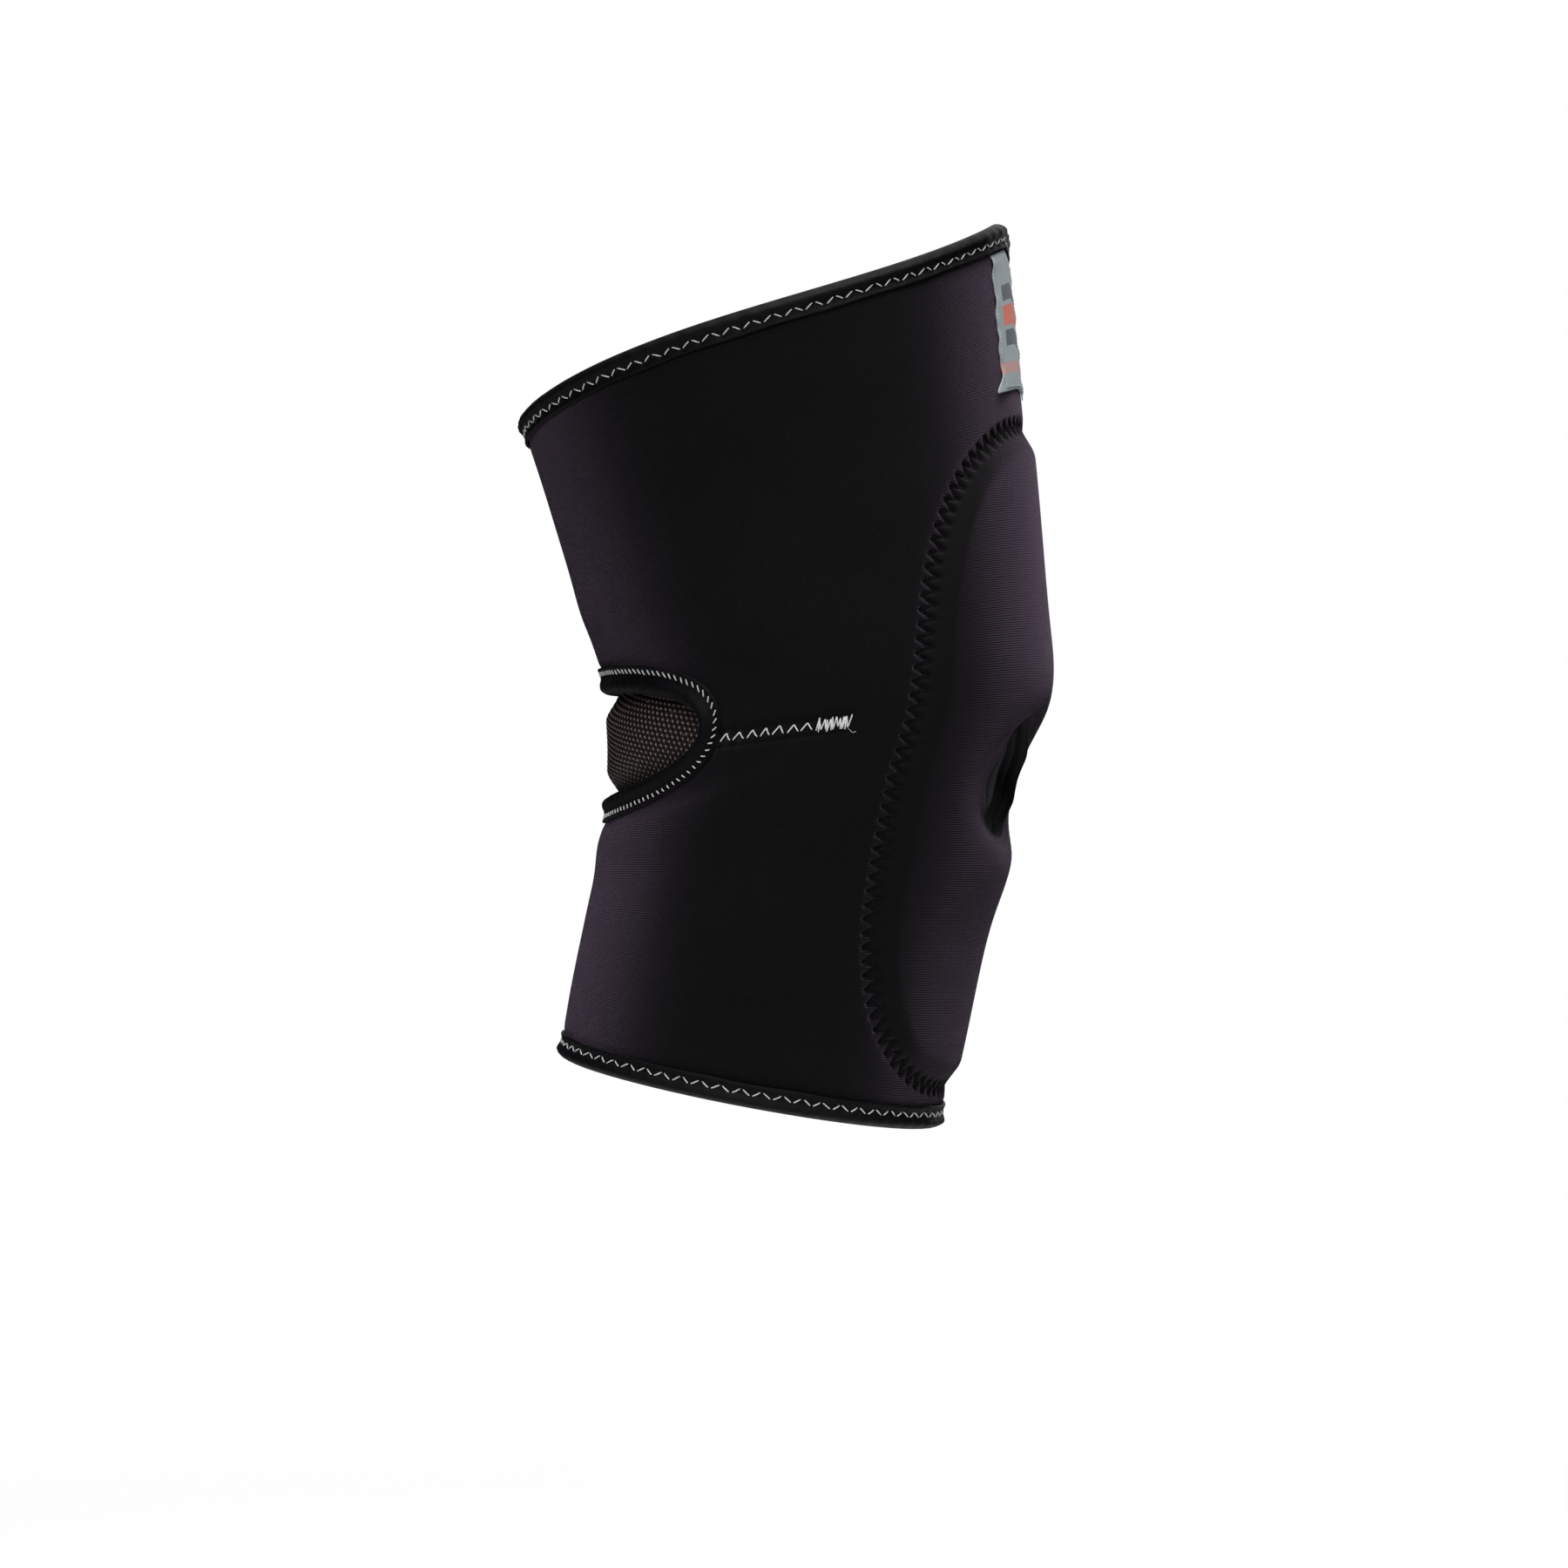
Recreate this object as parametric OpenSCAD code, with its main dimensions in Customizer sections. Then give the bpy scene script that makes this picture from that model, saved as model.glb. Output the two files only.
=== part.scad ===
// Slip-on neoprene knee sleeve, open at the kneecap, with an anterior pad and a popliteal mesh vent.
// +X is the front of the knee, +Z is up the thigh, and the origin is the knee's bending centre.
// The sleeve is shown at 22 degrees of knee flexion, the way it sits on a relaxed leg.

/* [Sleeve] */
// Height of the top edge at the front of the thigh
top_front_z = 158; // [150:1:165]
// Height of the top edge at the back of the thigh
top_back_z = 98; // [92:1:104]
// How far the top edge drops between the front and the sides
top_dip = 8.2; // [0:0.1:10]
// Drop of the bottom edge at the front of the shin
bottom_front_z = -118; // [-122:1:-112]
// Drop of the bottom edge at the back of the calf
bottom_back_z = -96; // [-100:1:-92]
// Sleeve thickness, fabric to fabric
sleeve_t = 4; // [3.6:0.1:5]
// Thickness of the knitted nylon on each side of the foam
fabric_t = 0.5; // [0.3:0.05:0.6]
// Clearance between plies
ply_gap = 0.04; // [0.02:0.01:0.1]

/* [Anterior pad] */
// Thickness of the foam pad behind the front of the sleeve
pad_t = 2.5; // [1.5:0.1:3]
// Half of the angle that the pad wraps round the front
pad_half_angle = 55; // [50:1:58]
// Lower and upper end of the pad, as shares of the sleeve's length
pad_v0 = 0.042; // [0.04:0.002:0.05]
pad_v1 = 0.778; // [0.76:0.002:0.78]

/* [Kneecap hole] */
// Half of the angle that the hole spans
hole_half_angle = 25; // [20:0.5:27]
// Share of the sleeve's length at the middle of the hole
hole_v = 0.391; // [0.389:0.001:0.393]
// Half of the hole's height, as a share of the sleeve's length
hole_half_v = 0.068; // [0.06:0.001:0.07]

/* [Popliteal vent] */
// Half of the angle that the vent spans round the back
vent_half_angle = 68; // [62:1:70]
// Share of the sleeve's length at the middle of the vent
vent_v = 0.487; // [0.48:0.001:0.495]
// Half of the vent's height, as a share of the sleeve's length
vent_half_v = 0.085; // [0.075:0.001:0.09]
// Thickness of the mesh
mesh_t = 0.5; // [0.4:0.05:0.7]

/* [Bindings] */
// Width of the folded tape over the top and bottom edges
tape_w = 6.3; // [5.8:0.1:7.5]
// Width of the folded tape round the vent
vent_tape_w = 7.3; // [6.5:0.1:8]
// Thickness of the folded tape
tape_t = 0.9; // [0.6:0.1:1.1]

/* [Sewing] */
// Width across a zigzag
zigzag_w = 4; // [3:0.1:4.6]
// Thickness of the sewing thread
thread_t = 0.6; // [0.4:0.05:0.8]
// Half of the angle that the woven label spans
label_half_angle = 13; // [11:0.5:14]

/* [Hidden] */

cols = 20;          // columns of facets from the front to the back, on each side
thigh_rows = 8;
shin_rows = 7;
knee_rows = 12;
eps = 0.01;

// Outer profile, as [share of the length, millimetres]: front and back in X, and the half width in Y.
front_x = [[-0.15, 40], [0, 46.5], [0.09, 54], [0.2, 61], [0.3, 68.6], [0.4, 75.5], [0.455, 79],
           [0.5, 82], [0.55, 81.8], [0.65, 79.3], [0.75, 76], [0.8, 73], [0.9, 70.2], [1, 67.3], [1.15, 63]];
back_x = [[-0.15, -76], [0, -71.5], [0.1, -68], [0.2, -63.9], [0.3, -59.9], [0.37, -57.2], [0.48, -56],
          [0.58, -57.5], [0.62, -59.5], [0.7, -64.8], [0.8, -70.4], [0.9, -76.6], [1, -83.5], [1.15, -93.5]];
half_y = [[-0.15, 50.5], [0, 53], [0.2, 57], [0.35, 61], [0.5, 63.3], [0.65, 63.8], [0.8, 66], [1, 71],
          [1.15, 75]];

// A profile read with its corners rounded: a weighted mean over a short stretch.
function soft(table, v, d = 0.025) =
    (lookup(v - 2 * d, table) + 2 * lookup(v - d, table) + 3 * lookup(v, table)
     + 2 * lookup(v + d, table) + lookup(v + 2 * d, table)) / 9;

// The dip of the top edge at angle u, which dies away down the thigh.
function dip(u, v) =
    let (t = min(max((v - 0.7) / 0.3, 0), 1))
    top_dip * abs(sin(u)) * pow(1 + cos(u), 1.6) / 1.69 * t * t * (3 - 2 * t);

// Point on the sleeve's outer surface: u is the angle from the front, v the share of the length.
function skin(u, v) =
    let (f = [soft(front_x, v), 0, bottom_front_z + (top_front_z - bottom_front_z) * v],
         b = [soft(back_x, v), 0, bottom_back_z + (top_back_z - bottom_back_z) * v])
    (f + b) / 2 + (f - b) / 2 * cos(u) - [0, soft(half_y, v) * sin(u), dip(u, v)];

function unit(a) = a / norm(a);
function outward(u, v) = unit(cross(skin(u, v + eps) - skin(u, v - eps), skin(u + 1, v) - skin(u - 1, v)));

// Point at height h above the outer surface. Points on the middle plane stay exactly on it.
function at(p, h) =
    let (q = skin(p[0], p[1]) + h * outward(p[0], p[1]))
    [q[0], abs(q[1]) < 1e-6 ? 0 : q[1], q[2]];

// Length of the sleeve per unit of v at angle u, and degrees of u per millimetre.
function span_at(u) = (top_front_z - bottom_front_z + top_back_z - bottom_back_z) / 2
    + (top_front_z - bottom_front_z - top_back_z + bottom_back_z) / 2 * cos(u);
deg_per_mm = 0.88;

function mix(a, b, t) = a + (b - a) * t;

// The bending zone at the knee: a band that widens towards the back.
knee_v0 = [0.312, 0.222];
knee_v1 = [0.470, 0.768];
zone_gap = 0.0015;
function zone_v(ends, u) = mix(ends[0], ends[1], abs(u) / 180);

// Superellipse outlines: t runs from -90 at the bottom to 90 at the top.
function pow_cos(t, n) = pow(max(abs(cos(t)), 0), 2 / n);
function pow_sin(t, n) = sign(t) * pow(abs(sin(t)), 2 / n);
pad_n = 2.5;
vent_n = 2.2;
pad_v = (pad_v0 + pad_v1) / 2;
pad_half_v = (pad_v1 - pad_v0) / 2;
function pad_edge(t, grow = 0) =
    [(pad_half_angle + grow * deg_per_mm) * pow_cos(t, pad_n),
     pad_v + (pad_half_v + grow / span_at(0)) * pow_sin(t, pad_n)];
function pad_half_u(v) =
    pad_half_angle * pow(max(1 - pow(abs(v - pad_v) / pad_half_v, pad_n), 0), 1 / pad_n);
function pad_half_height(u) =
    pad_half_v * pow(max(1 - pow(abs(u) / pad_half_angle, pad_n), 0), 1 / pad_n);
function hole_edge(t) = [hole_half_angle * cos(t), hole_v + hole_half_v * sin(t)];
function vent_edge(t, grow = 0) =
    [180 - (vent_half_angle + grow * deg_per_mm) * pow_cos(t, vent_n),
     vent_v + (vent_half_v + grow / span_at(180)) * pow_sin(t, vent_n)];

// Closed solid between two grids of points, outer and inner, each a list of rows.
// walls: "round" closes the rows into a tube; otherwise the four sides are walled.
function flat(rows) = [for (row = rows) for (p = row) p];
function skin_faces(nr, nc, at0, wrap, flip) =
    [for (j = [0:nr - 2]) for (i = [0:(wrap ? nc : nc - 1) - 1])
        let (k = (i + 1) % nc, a = at0 + j * nc + i, b = at0 + j * nc + k,
             c = at0 + (j + 1) * nc + k, d = at0 + (j + 1) * nc + i)
        each flip ? [[a, c, b], [a, d, c]] : [[a, b, c], [a, c, d]]];
function wall(ids, n, flip) =
    [for (i = [0:len(ids) - 2])
        let (a = ids[i], b = ids[i + 1])
        each flip ? [[a, b, b + n], [a, b + n, a + n]] : [[a, b + n, b], [a, a + n, b + n]]];
function patch_faces(nr, nc, at0, wrap, flip, left, right) =
    let (n = nr * nc)
    concat(skin_faces(nr, nc, at0, wrap, flip), skin_faces(nr, nc, at0 + n, wrap, !flip),
           wall([for (i = [0:wrap ? nc : nc - 1]) at0 + i % nc], n, flip),
           wall([for (i = [0:wrap ? nc : nc - 1]) at0 + (nr - 1) * nc + i % nc], n, !flip),
           wrap ? [] : wall([for (j = left) at0 + j * nc], n, !flip),
           wrap ? [] : wall([for (j = right) at0 + j * nc + nc - 1], n, flip));

// A sheet of cloth or foam over a grid of [u, v] places, from height h1 down to h0.
module sheet(grid, h1, h0, wrap = false) {
    nr = len(grid);
    nc = len(grid[0]);
    all_rows = [for (j = [0:nr - 1]) j];
    polyhedron(points = concat([for (p = flat(grid)) at(p, h1)], [for (p = flat(grid)) at(p, h0)]),
               faces = patch_faces(nr, nc, 0, wrap, false, all_rows, all_rows), convexity = 6);
}

// The same sheet on both sides of the middle plane, joined where no opening parts them.
// left and right list the rows that border an opening at the front and at the back.
module mirrored_sheet(grid, h1, h0, left, right) {
    nr = len(grid);
    nc = len(grid[0]);
    other = [for (row = grid) [for (p = row) [-p[0], p[1]]]];
    points = [for (g = [grid, other]) for (h = [h1, h0]) for (p = flat(g)) at(p, h)];
    polyhedron(points = points,
               faces = concat(patch_faces(nr, nc, 0, false, false, left, right),
                              patch_faces(nr, nc, 2 * nr * nc, false, true, left, right)),
               convexity = 6);
}

// Where the plies of the sleeve lie, as [outer, inner] heights.
function ply(name) =
    name == "face" ? [0, -fabric_t + ply_gap]
    : name == "core" ? [-fabric_t, -sleeve_t + fabric_t]
    : [-sleeve_t + fabric_t - ply_gap, -sleeve_t];

ring = [for (i = [0:2 * cols - 1]) i <= cols ? 180 * i / cols : 180 * i / cols - 360];
thigh_grid = [for (j = [0:thigh_rows])
    [for (u = ring) [u, mix(zone_v(knee_v1, u) + zone_gap, 1, j / thigh_rows)]]];
shin_grid = [for (j = [0:shin_rows])
    [for (u = ring) [u, mix(0, zone_v(knee_v0, u) - zone_gap, j / shin_rows)]]];

// Edges of the knee zone's half: up the front past the kneecap hole, and up the back past the vent.
hole_rows = [for (j = [1:knee_rows - 1]) j];
vent_rows = [for (j = [2:knee_rows - 2]) j];
function vent_row_t(share) = sign(share) * 90 * (1 - pow(1 - abs(share), 1.35));
knee_front = [for (j = [0:knee_rows])
    j == 0 ? [0, knee_v0[0]] : j == knee_rows ? [0, knee_v1[0]]
    : hole_edge(-90 + 180 * (j - 1) / (knee_rows - 2))];
knee_back = [for (j = [0:knee_rows])
    j < 2 ? [180, mix(knee_v0[1], vent_v - vent_half_v, j / 2)]
    : j > knee_rows - 2 ? [180, mix(knee_v1[1], vent_v + vent_half_v, (knee_rows - j) / 2)]
    : vent_edge(vent_row_t(2 * (j - 2) / (knee_rows - 4) - 1))];

// Below the vent's middle the rows climb late on their way to the back. Above it they climb early, and their
// columns crowd towards the vent, so that no row crosses another.
row_climb = [1, 1, 1.5, 1.3, 1.2, 1.2, 1, 3.6, 3.3, 3.2, 4, 1.6, 1];
row_crowd = [1, 1, 1, 0.8, 1, 1.1, 1.2, 1.9, 2.8, 5, 1, 1, 1];
function knee_place(j, x) =
    let (a = knee_front[j], b = knee_back[j],
         late = pow(x, row_climb[j]), early = 1 - pow(1 - x, row_climb[j]))
    [a[0] * (1 - x) + 180 * x - (180 - b[0]) * pow(x, row_crowd[j]),
     mix(a[1], b[1], j < knee_rows / 2 ? late : early)];
knee_grid = [for (j = [0:knee_rows]) [for (i = [0:cols]) knee_place(j, i / cols)]];

module thigh_ply(name) { sheet(thigh_grid, ply(name)[0], ply(name)[1], true); }
module shin_ply(name) { sheet(shin_grid, ply(name)[0], ply(name)[1], true); }
module knee_ply(name) { mirrored_sheet(knee_grid, ply(name)[0], ply(name)[1], hole_rows, vent_rows); }

module thigh_face_fabric() { color("#1b1b1d") thigh_ply("face"); }
module thigh_foam_core() { color("#2a2a2c") thigh_ply("core"); }
module thigh_lining() { color("#202022") thigh_ply("lining"); }
module knee_face_fabric() { color("#1b1b1d") knee_ply("face"); }
module knee_foam_core() { color("#2a2a2c") knee_ply("core"); }
module knee_lining() { color("#202022") knee_ply("lining"); }
module shin_face_fabric() { color("#1b1b1d") shin_ply("face"); }
module shin_foam_core() { color("#2a2a2c") shin_ply("core"); }
module shin_lining() { color("#202022") shin_ply("lining"); }

// The pad lies against the leg, behind the lining, and the bending zone divides it in three.
pad_cols = 14;
pad_clear = 0.8;
pad_top = -sleeve_t - pad_clear;
pad_zone_gap = 0.003;
upper_u = 43;
lower_u = 50;
pad_upper_grid = [for (j = [0:6]) [for (i = [0:pad_cols])
    let (u = mix(-upper_u, upper_u, i / pad_cols))
    [u, mix(zone_v(knee_v1, u) + pad_zone_gap, pad_v + pad_half_height(u), j / 6)]]];
pad_lower_grid = [for (j = [0:6]) [for (i = [0:pad_cols])
    let (u = mix(-lower_u, lower_u, i / pad_cols))
    [u, mix(pad_v - pad_half_height(u), zone_v(knee_v0, u) - pad_zone_gap, j / 6)]]];
pad_knee_grid = [for (j = [0:knee_rows])
    let (v = mix(zone_v(knee_v0, 52), zone_v(knee_v1, 50), j / knee_rows), edge = [pad_half_u(v), v])
    [for (i = [0:5]) mix(knee_front[j], edge, i / 5)]];

module anterior_pad_upper() { color("#303034") sheet(pad_upper_grid, pad_top, pad_top - pad_t); }
module anterior_pad_lower() { color("#303034") sheet(pad_lower_grid, pad_top, pad_top - pad_t); }
module anterior_pad_knee() {
    all_rows = [for (j = [0:knee_rows]) j];
    color("#303034") mirrored_sheet(pad_knee_grid, pad_top, pad_top - pad_t, hole_rows, all_rows);
}

// Tape folded over an edge: [distance in from the edge, height], going round the folded section.
tape_clear = 0.08;
tape_over = 0.1;
fold_round = 0.3;
function tape_section(w, hi, lo) =
    [[w, hi], [w, hi + tape_t], [0, hi + tape_t], [-tape_over - tape_t, hi - fold_round],
     [-tape_over - tape_t, lo + fold_round], [0, lo - tape_t], [w, lo - tape_t], [w, lo],
     [-tape_over, lo], [-tape_over, hi]];
edge_section = tape_section(tape_w, tape_clear, -sleeve_t - tape_clear);

// A closed loop of sections: rings is a list of rings of points.
module loop(rings, flip = false) {
    n = len(rings);
    m = len(rings[0]);
    polyhedron(points = flat(rings),
               faces = [for (i = [0:n - 1]) for (j = [0:m - 1])
                   let (a = i * m + j, b = i * m + (j + 1) % m,
                        c = ((i + 1) % n) * m + (j + 1) % m, d = ((i + 1) % n) * m + j)
                   each flip ? [[a, c, b], [a, d, c]] : [[a, b, c], [a, c, d]]],
               convexity = 6);
}

module top_binding() {
    color("#232325") loop([for (u = ring) [for (s = edge_section) at([u, 1 - s[0] / span_at(u)], s[1])]]);
}
module bottom_binding() {
    color("#232325") loop([for (u = ring) [for (s = edge_section) at([u, s[0] / span_at(u)], s[1])]], true);
}

// The vent's binding also folds over the mesh, which it holds against the lining.
mesh_clear = 0.7;
vent_section = tape_section(vent_tape_w, mesh_clear, -sleeve_t - 2 * mesh_clear - mesh_t);
vent_steps = 40;
function vent_loop(k, grow) =
    let (t = 360 * k / vent_steps - 90, e = vent_edge(t <= 90 ? t : 180 - t, grow))
    [t <= 90 ? e[0] : 360 - e[0], e[1]];
module vent_binding() {
    color("#232325") loop([for (k = [0:vent_steps - 1]) [for (s = vent_section)
        at(vent_loop(k, s[0]), s[1])]]);
}

// The mesh bellies out a little between the lips of the vent, and its hem lies flat under the tape.
mesh_hem = 5;
mesh_belly = 2.6;
mesh_reach = 84;
function vent_share(u, v) =
    pow(abs(180 - u) / vent_half_angle, vent_n) + pow(abs(v - vent_v) / vent_half_v, vent_n);
module vent_mesh() {
    steps = 12;
    across = 16;
    top = -sleeve_t - mesh_clear;
    rows = [for (j = [0:steps]) [for (i = [0:across])
        let (edge = vent_edge(mix(-mesh_reach, mesh_reach, j / steps), mesh_hem),
             u = mix(edge[0], 360 - edge[0], i / across))
        [u, edge[1], mesh_belly * pow(max(1 - vent_share(u, edge[1]), 0), 2)]]];
    all_rows = [for (j = [0:steps]) j];
    color("#3a3236") polyhedron(
        points = [for (h = [top, top - mesh_t]) for (p = flat(rows)) at(p, h + p[2])],
        faces = patch_faces(steps + 1, across + 1, 0, false, false, all_rows, all_rows), convexity = 6);
}

// A woven label sewn to the front of the thigh, below the top binding.
label_v0 = 0.818;
label_v1 = 0.9695;
label_t = 0.5;
label_lift = 0.45;
module woven_label() {
    color("#a3adac") sheet([for (j = [0:6]) [for (i = [0:6])
        [mix(-label_half_angle, label_half_angle, i / 6), mix(label_v0, label_v1, j / 6)]]],
        label_lift + label_t, label_lift);
}

// A thread laid along [u, v, height] places on the surface: a three-sided strand, capped at its ends.
// Its corners are mitred, so that the strand keeps its thickness between them.
module thread(path, closed = false, t = thread_t) {
    n = len(path);
    rings = [for (i = [0:n - 1])
        let (b = path[closed ? (i + 1) % n : min(i + 1, n - 1)],
             a = path[closed ? (i + n - 1) % n : max(i - 1, 0)],
             pa = at(a, a[2]), pb = at(b, b[2]), c = at(path[i], path[i][2]),
             from = i > 0 || closed ? unit(c - pa) : unit(pb - c),
             to = i < n - 1 || closed ? unit(pb - c) : from,
             along = unit(from + to), mitre = 1 / max(along * from, 0.2),
             up = outward(path[i][0], path[i][1]), side = unit(cross(along, up)))
        [c + side * mitre * t / 2, c - side * mitre * t / 2, c + up * t * 0.8]];
    m = 3;
    sides = [for (i = [0:(closed ? n : n - 1) - 1]) for (j = [0:m - 1])
        let (p = i * m + j, q = i * m + (j + 1) % m,
             r = ((i + 1) % n) * m + (j + 1) % m, s = ((i + 1) % n) * m + j)
        each [[p, q, r], [p, r, s]]];
    caps = closed ? [] : [[2, 1, 0], [(n - 1) * m, (n - 1) * m + 1, (n - 1) * m + 2]];
    polyhedron(points = flat(rings), faces = concat(sides, caps), convexity = 6);
}

thread_h = 0.12;
over_tape = tape_clear + tape_t + thread_h;

// Zigzags along the two tapes, lying on the tape nearer to its inner edge.
top_stitches = 75;
bottom_stitches = 60;
edge_zigzag_w = 2.3;
edge_inset = tape_w - 2.6;
module edge_zigzag(top) {
    n = 2 * (top ? top_stitches : bottom_stitches);
    path = [for (i = [0:n - 1])
        let (u0 = 360 * i / n, u = u0 > 180 ? u0 - 360 : u0,
             d = edge_inset + (i % 2 == 0 ? 0.5 : -0.5) * edge_zigzag_w, v = d / span_at(u))
        [u, top ? 1 - v : v, over_tape]];
    thread(path, true);
}
module top_binding_thread() { color("#d8d8d6") edge_zigzag(true); }
module bottom_binding_thread() { color("#d8d8d6") edge_zigzag(false); }
vent_stitches = 78;
vent_inset = [1.2, 3];
module vent_binding_thread() {
    n = 2 * vent_stitches;
    path = [for (i = [0:n - 1])
        let (t = 360 * i / n - 90, e = vent_edge(t <= 90 ? t : 180 - t, vent_tape_w - vent_inset[i % 2]))
        [t <= 90 ? e[0] : 360 - e[0], e[1], mesh_clear + tape_t + thread_h]];
    color("#b9b9b6") thread(path, true);
}

// Zigzag along the pad's outline, in three runs that part at the bending zone.
pad_pitch_deg = 2.6;
function pad_zigzag(t0, t1) =
    let (n = 2 * round((t1 - t0) / pad_pitch_deg))
    [for (i = [0:n])
        let (t = mix(t0, t1, i / n), w = t <= 90 && t >= -90 ? t : t > 90 ? 180 - t : -180 - t,
             e = pad_edge(w, (i % 2 == 0 ? 0.5 : -0.5) * zigzag_w), s = t > 90 || t < -90 ? -1 : 1)
        [s * e[0], e[1], thread_h]];
pad_zone_t0 = -13;
pad_zone_t1 = 17;
module pad_thread_upper() { color("#1a1a1c") thread(pad_zigzag(pad_zone_t1 + 1, 179 - pad_zone_t1)); }
module pad_thread_lower() { color("#1a1a1c") thread(pad_zigzag(-179 - pad_zone_t0, pad_zone_t0 - 1)); }
module pad_thread_knee() {
    color("#1a1a1c") for (s = [0, 1]) mirror([0, s, 0]) thread(pad_zigzag(pad_zone_t0, pad_zone_t1));
}

// The dart on each side: a zigzag from the vent's tip to a dense bar tack.
dart_v = 0.466;
dart_u0 = 104.5;
dart_u1 = 79;
tack_u1 = 70.5;
dart_gap = 0.8;
dart_height = 2.7;
tack_height = 3.6;
tack_thread_t = 0.35;
function level_zigzag(side, u0, u1, n, height) = [for (i = [0:n])
    [side * mix(u0, u1, i / n), dart_v + (i % 2 == 0 ? 0.5 : -0.5) * height / span_at(90), thread_h]];
module dart_thread(side) {
    color("#e6e6e4") thread(level_zigzag(side, dart_u0, dart_u1 + dart_gap, 14, dart_height));
}
module bar_tack(side) {
    color("#f0f0ee") thread(level_zigzag(side, dart_u1 - dart_gap, tack_u1, 12, tack_height), false,
                            tack_thread_t);
}
module dart_thread_right() { dart_thread(1); }
module dart_thread_left() { dart_thread(-1); }
module bar_tack_right() { bar_tack(1); }
module bar_tack_left() { bar_tack(-1); }

// The label's running stitch, just inside its edge.
label_inset_u = 1.2;
label_inset_v = 0.005;
module label_thread() {
    inset_u = label_half_angle - label_inset_u;
    v0 = label_v0 + label_inset_v;
    v1 = label_v1 - label_inset_v;
    h = label_lift + label_t + thread_h;
    path = concat([for (i = [0:7]) [mix(-inset_u, inset_u, i / 8), v0, h]],
                  [for (i = [0:9]) [inset_u, mix(v0, v1, i / 10), h]],
                  [for (i = [0:7]) [mix(inset_u, -inset_u, i / 8), v1, h]],
                  [for (i = [0:9]) [-inset_u, mix(v1, v0, i / 10), h]]);
    color("#c9cfce") thread(path, true, 0.4);
}

// The closing seam up the middle of the back, in runs that part at the vent and at the bending zone.
module back_seam(v0, v1, n) {
    path = [for (i = [0:n]) [180 + (i % 2 == 0 ? 0.5 : -0.5) * zigzag_w * deg_per_mm, mix(v0, v1, i / n),
                             thread_h]];
    color("#1a1a1c") thread(path);
}
module back_seam_thread_thigh() { back_seam(knee_v1[1] + 0.008, 1 - tape_w / span_at(180) - 0.012, 18); }
module back_seam_thread_knee() {
    lip = (vent_tape_w + 2) / span_at(180);
    back_seam(vent_v + vent_half_v + lip, knee_v1[1] - 0.008, 14);
    back_seam(knee_v0[1] + 0.008, vent_v - vent_half_v - lip, 10);
}
module back_seam_thread_shin() { back_seam(tape_w / span_at(180) + 0.012, knee_v0[1] - 0.008, 18); }

thigh_face_fabric();
thigh_foam_core();
thigh_lining();
knee_face_fabric();
knee_foam_core();
knee_lining();
shin_face_fabric();
shin_foam_core();
shin_lining();
anterior_pad_upper();
anterior_pad_knee();
anterior_pad_lower();
top_binding();
bottom_binding();
vent_binding();
vent_mesh();
woven_label();
top_binding_thread();
bottom_binding_thread();
vent_binding_thread();
pad_thread_upper();
pad_thread_knee();
pad_thread_lower();
dart_thread_left();
dart_thread_right();
bar_tack_left();
bar_tack_right();
label_thread();
back_seam_thread_thigh();
back_seam_thread_knee();
back_seam_thread_shin();
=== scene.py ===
"""A slip-on neoprene knee sleeve: fabric, pad, tapes, mesh, label and sewing, built round the CAD frame.

Places on the sleeve are (u, v): u is the angle from the front in degrees, positive on the -Y side, and v is
the share of the length, from 0 at the bottom edge to 1 at the top. Heights are millimetres out from the
surface. Meshes are worked out in millimetres and made in metres.
"""

import math

import bpy
import numpy as np
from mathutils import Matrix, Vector, kdtree


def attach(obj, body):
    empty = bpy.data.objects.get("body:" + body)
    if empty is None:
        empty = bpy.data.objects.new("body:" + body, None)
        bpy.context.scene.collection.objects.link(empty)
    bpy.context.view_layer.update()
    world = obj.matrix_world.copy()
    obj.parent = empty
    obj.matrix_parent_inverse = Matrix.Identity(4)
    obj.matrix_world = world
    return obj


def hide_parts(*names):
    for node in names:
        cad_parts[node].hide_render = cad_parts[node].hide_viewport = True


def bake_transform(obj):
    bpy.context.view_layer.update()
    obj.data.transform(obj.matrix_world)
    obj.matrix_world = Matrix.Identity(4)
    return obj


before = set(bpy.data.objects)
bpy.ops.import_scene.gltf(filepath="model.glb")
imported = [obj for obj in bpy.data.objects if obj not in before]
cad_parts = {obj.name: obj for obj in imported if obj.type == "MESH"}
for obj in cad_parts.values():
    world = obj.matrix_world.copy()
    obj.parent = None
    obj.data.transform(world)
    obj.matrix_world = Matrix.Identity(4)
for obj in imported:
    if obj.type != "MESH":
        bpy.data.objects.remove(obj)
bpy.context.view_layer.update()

MM = 0.001
TAU = 2 * math.pi
rng = np.random.default_rng(7)


def add_to_scene(thing):
    bpy.context.scene.collection.objects.link(thing)


def indices(*counts):
    """The indices of a grid, each as one flat array."""
    return (x.ravel() for x in np.meshgrid(*(np.arange(c) for c in counts), indexing="ij"))


# ---------------------------------------------------------------- camera

CAMERA_AZIMUTH = 13
CAMERA_DISTANCE = 1.5
CAMERA_AIM = Vector((-0.0013, 0, -0.013))


def make_camera():
    a = math.radians(CAMERA_AZIMUTH)
    back = Vector((math.sin(a), -math.cos(a), 0))
    side = Vector((math.cos(a), math.sin(a), 0))
    data = bpy.data.cameras.new("camera")
    data.lens = 111.1
    data.sensor_width = 36
    camera = bpy.data.objects.new("camera", data)
    camera.location = side * CAMERA_AIM.x + Vector((0, 0, CAMERA_AIM.z)) + back * CAMERA_DISTANCE
    camera.rotation_mode = "QUATERNION"
    camera.rotation_quaternion = (-back).to_track_quat("-Z", "Y")
    add_to_scene(camera)
    bpy.context.scene.camera = camera


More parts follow.
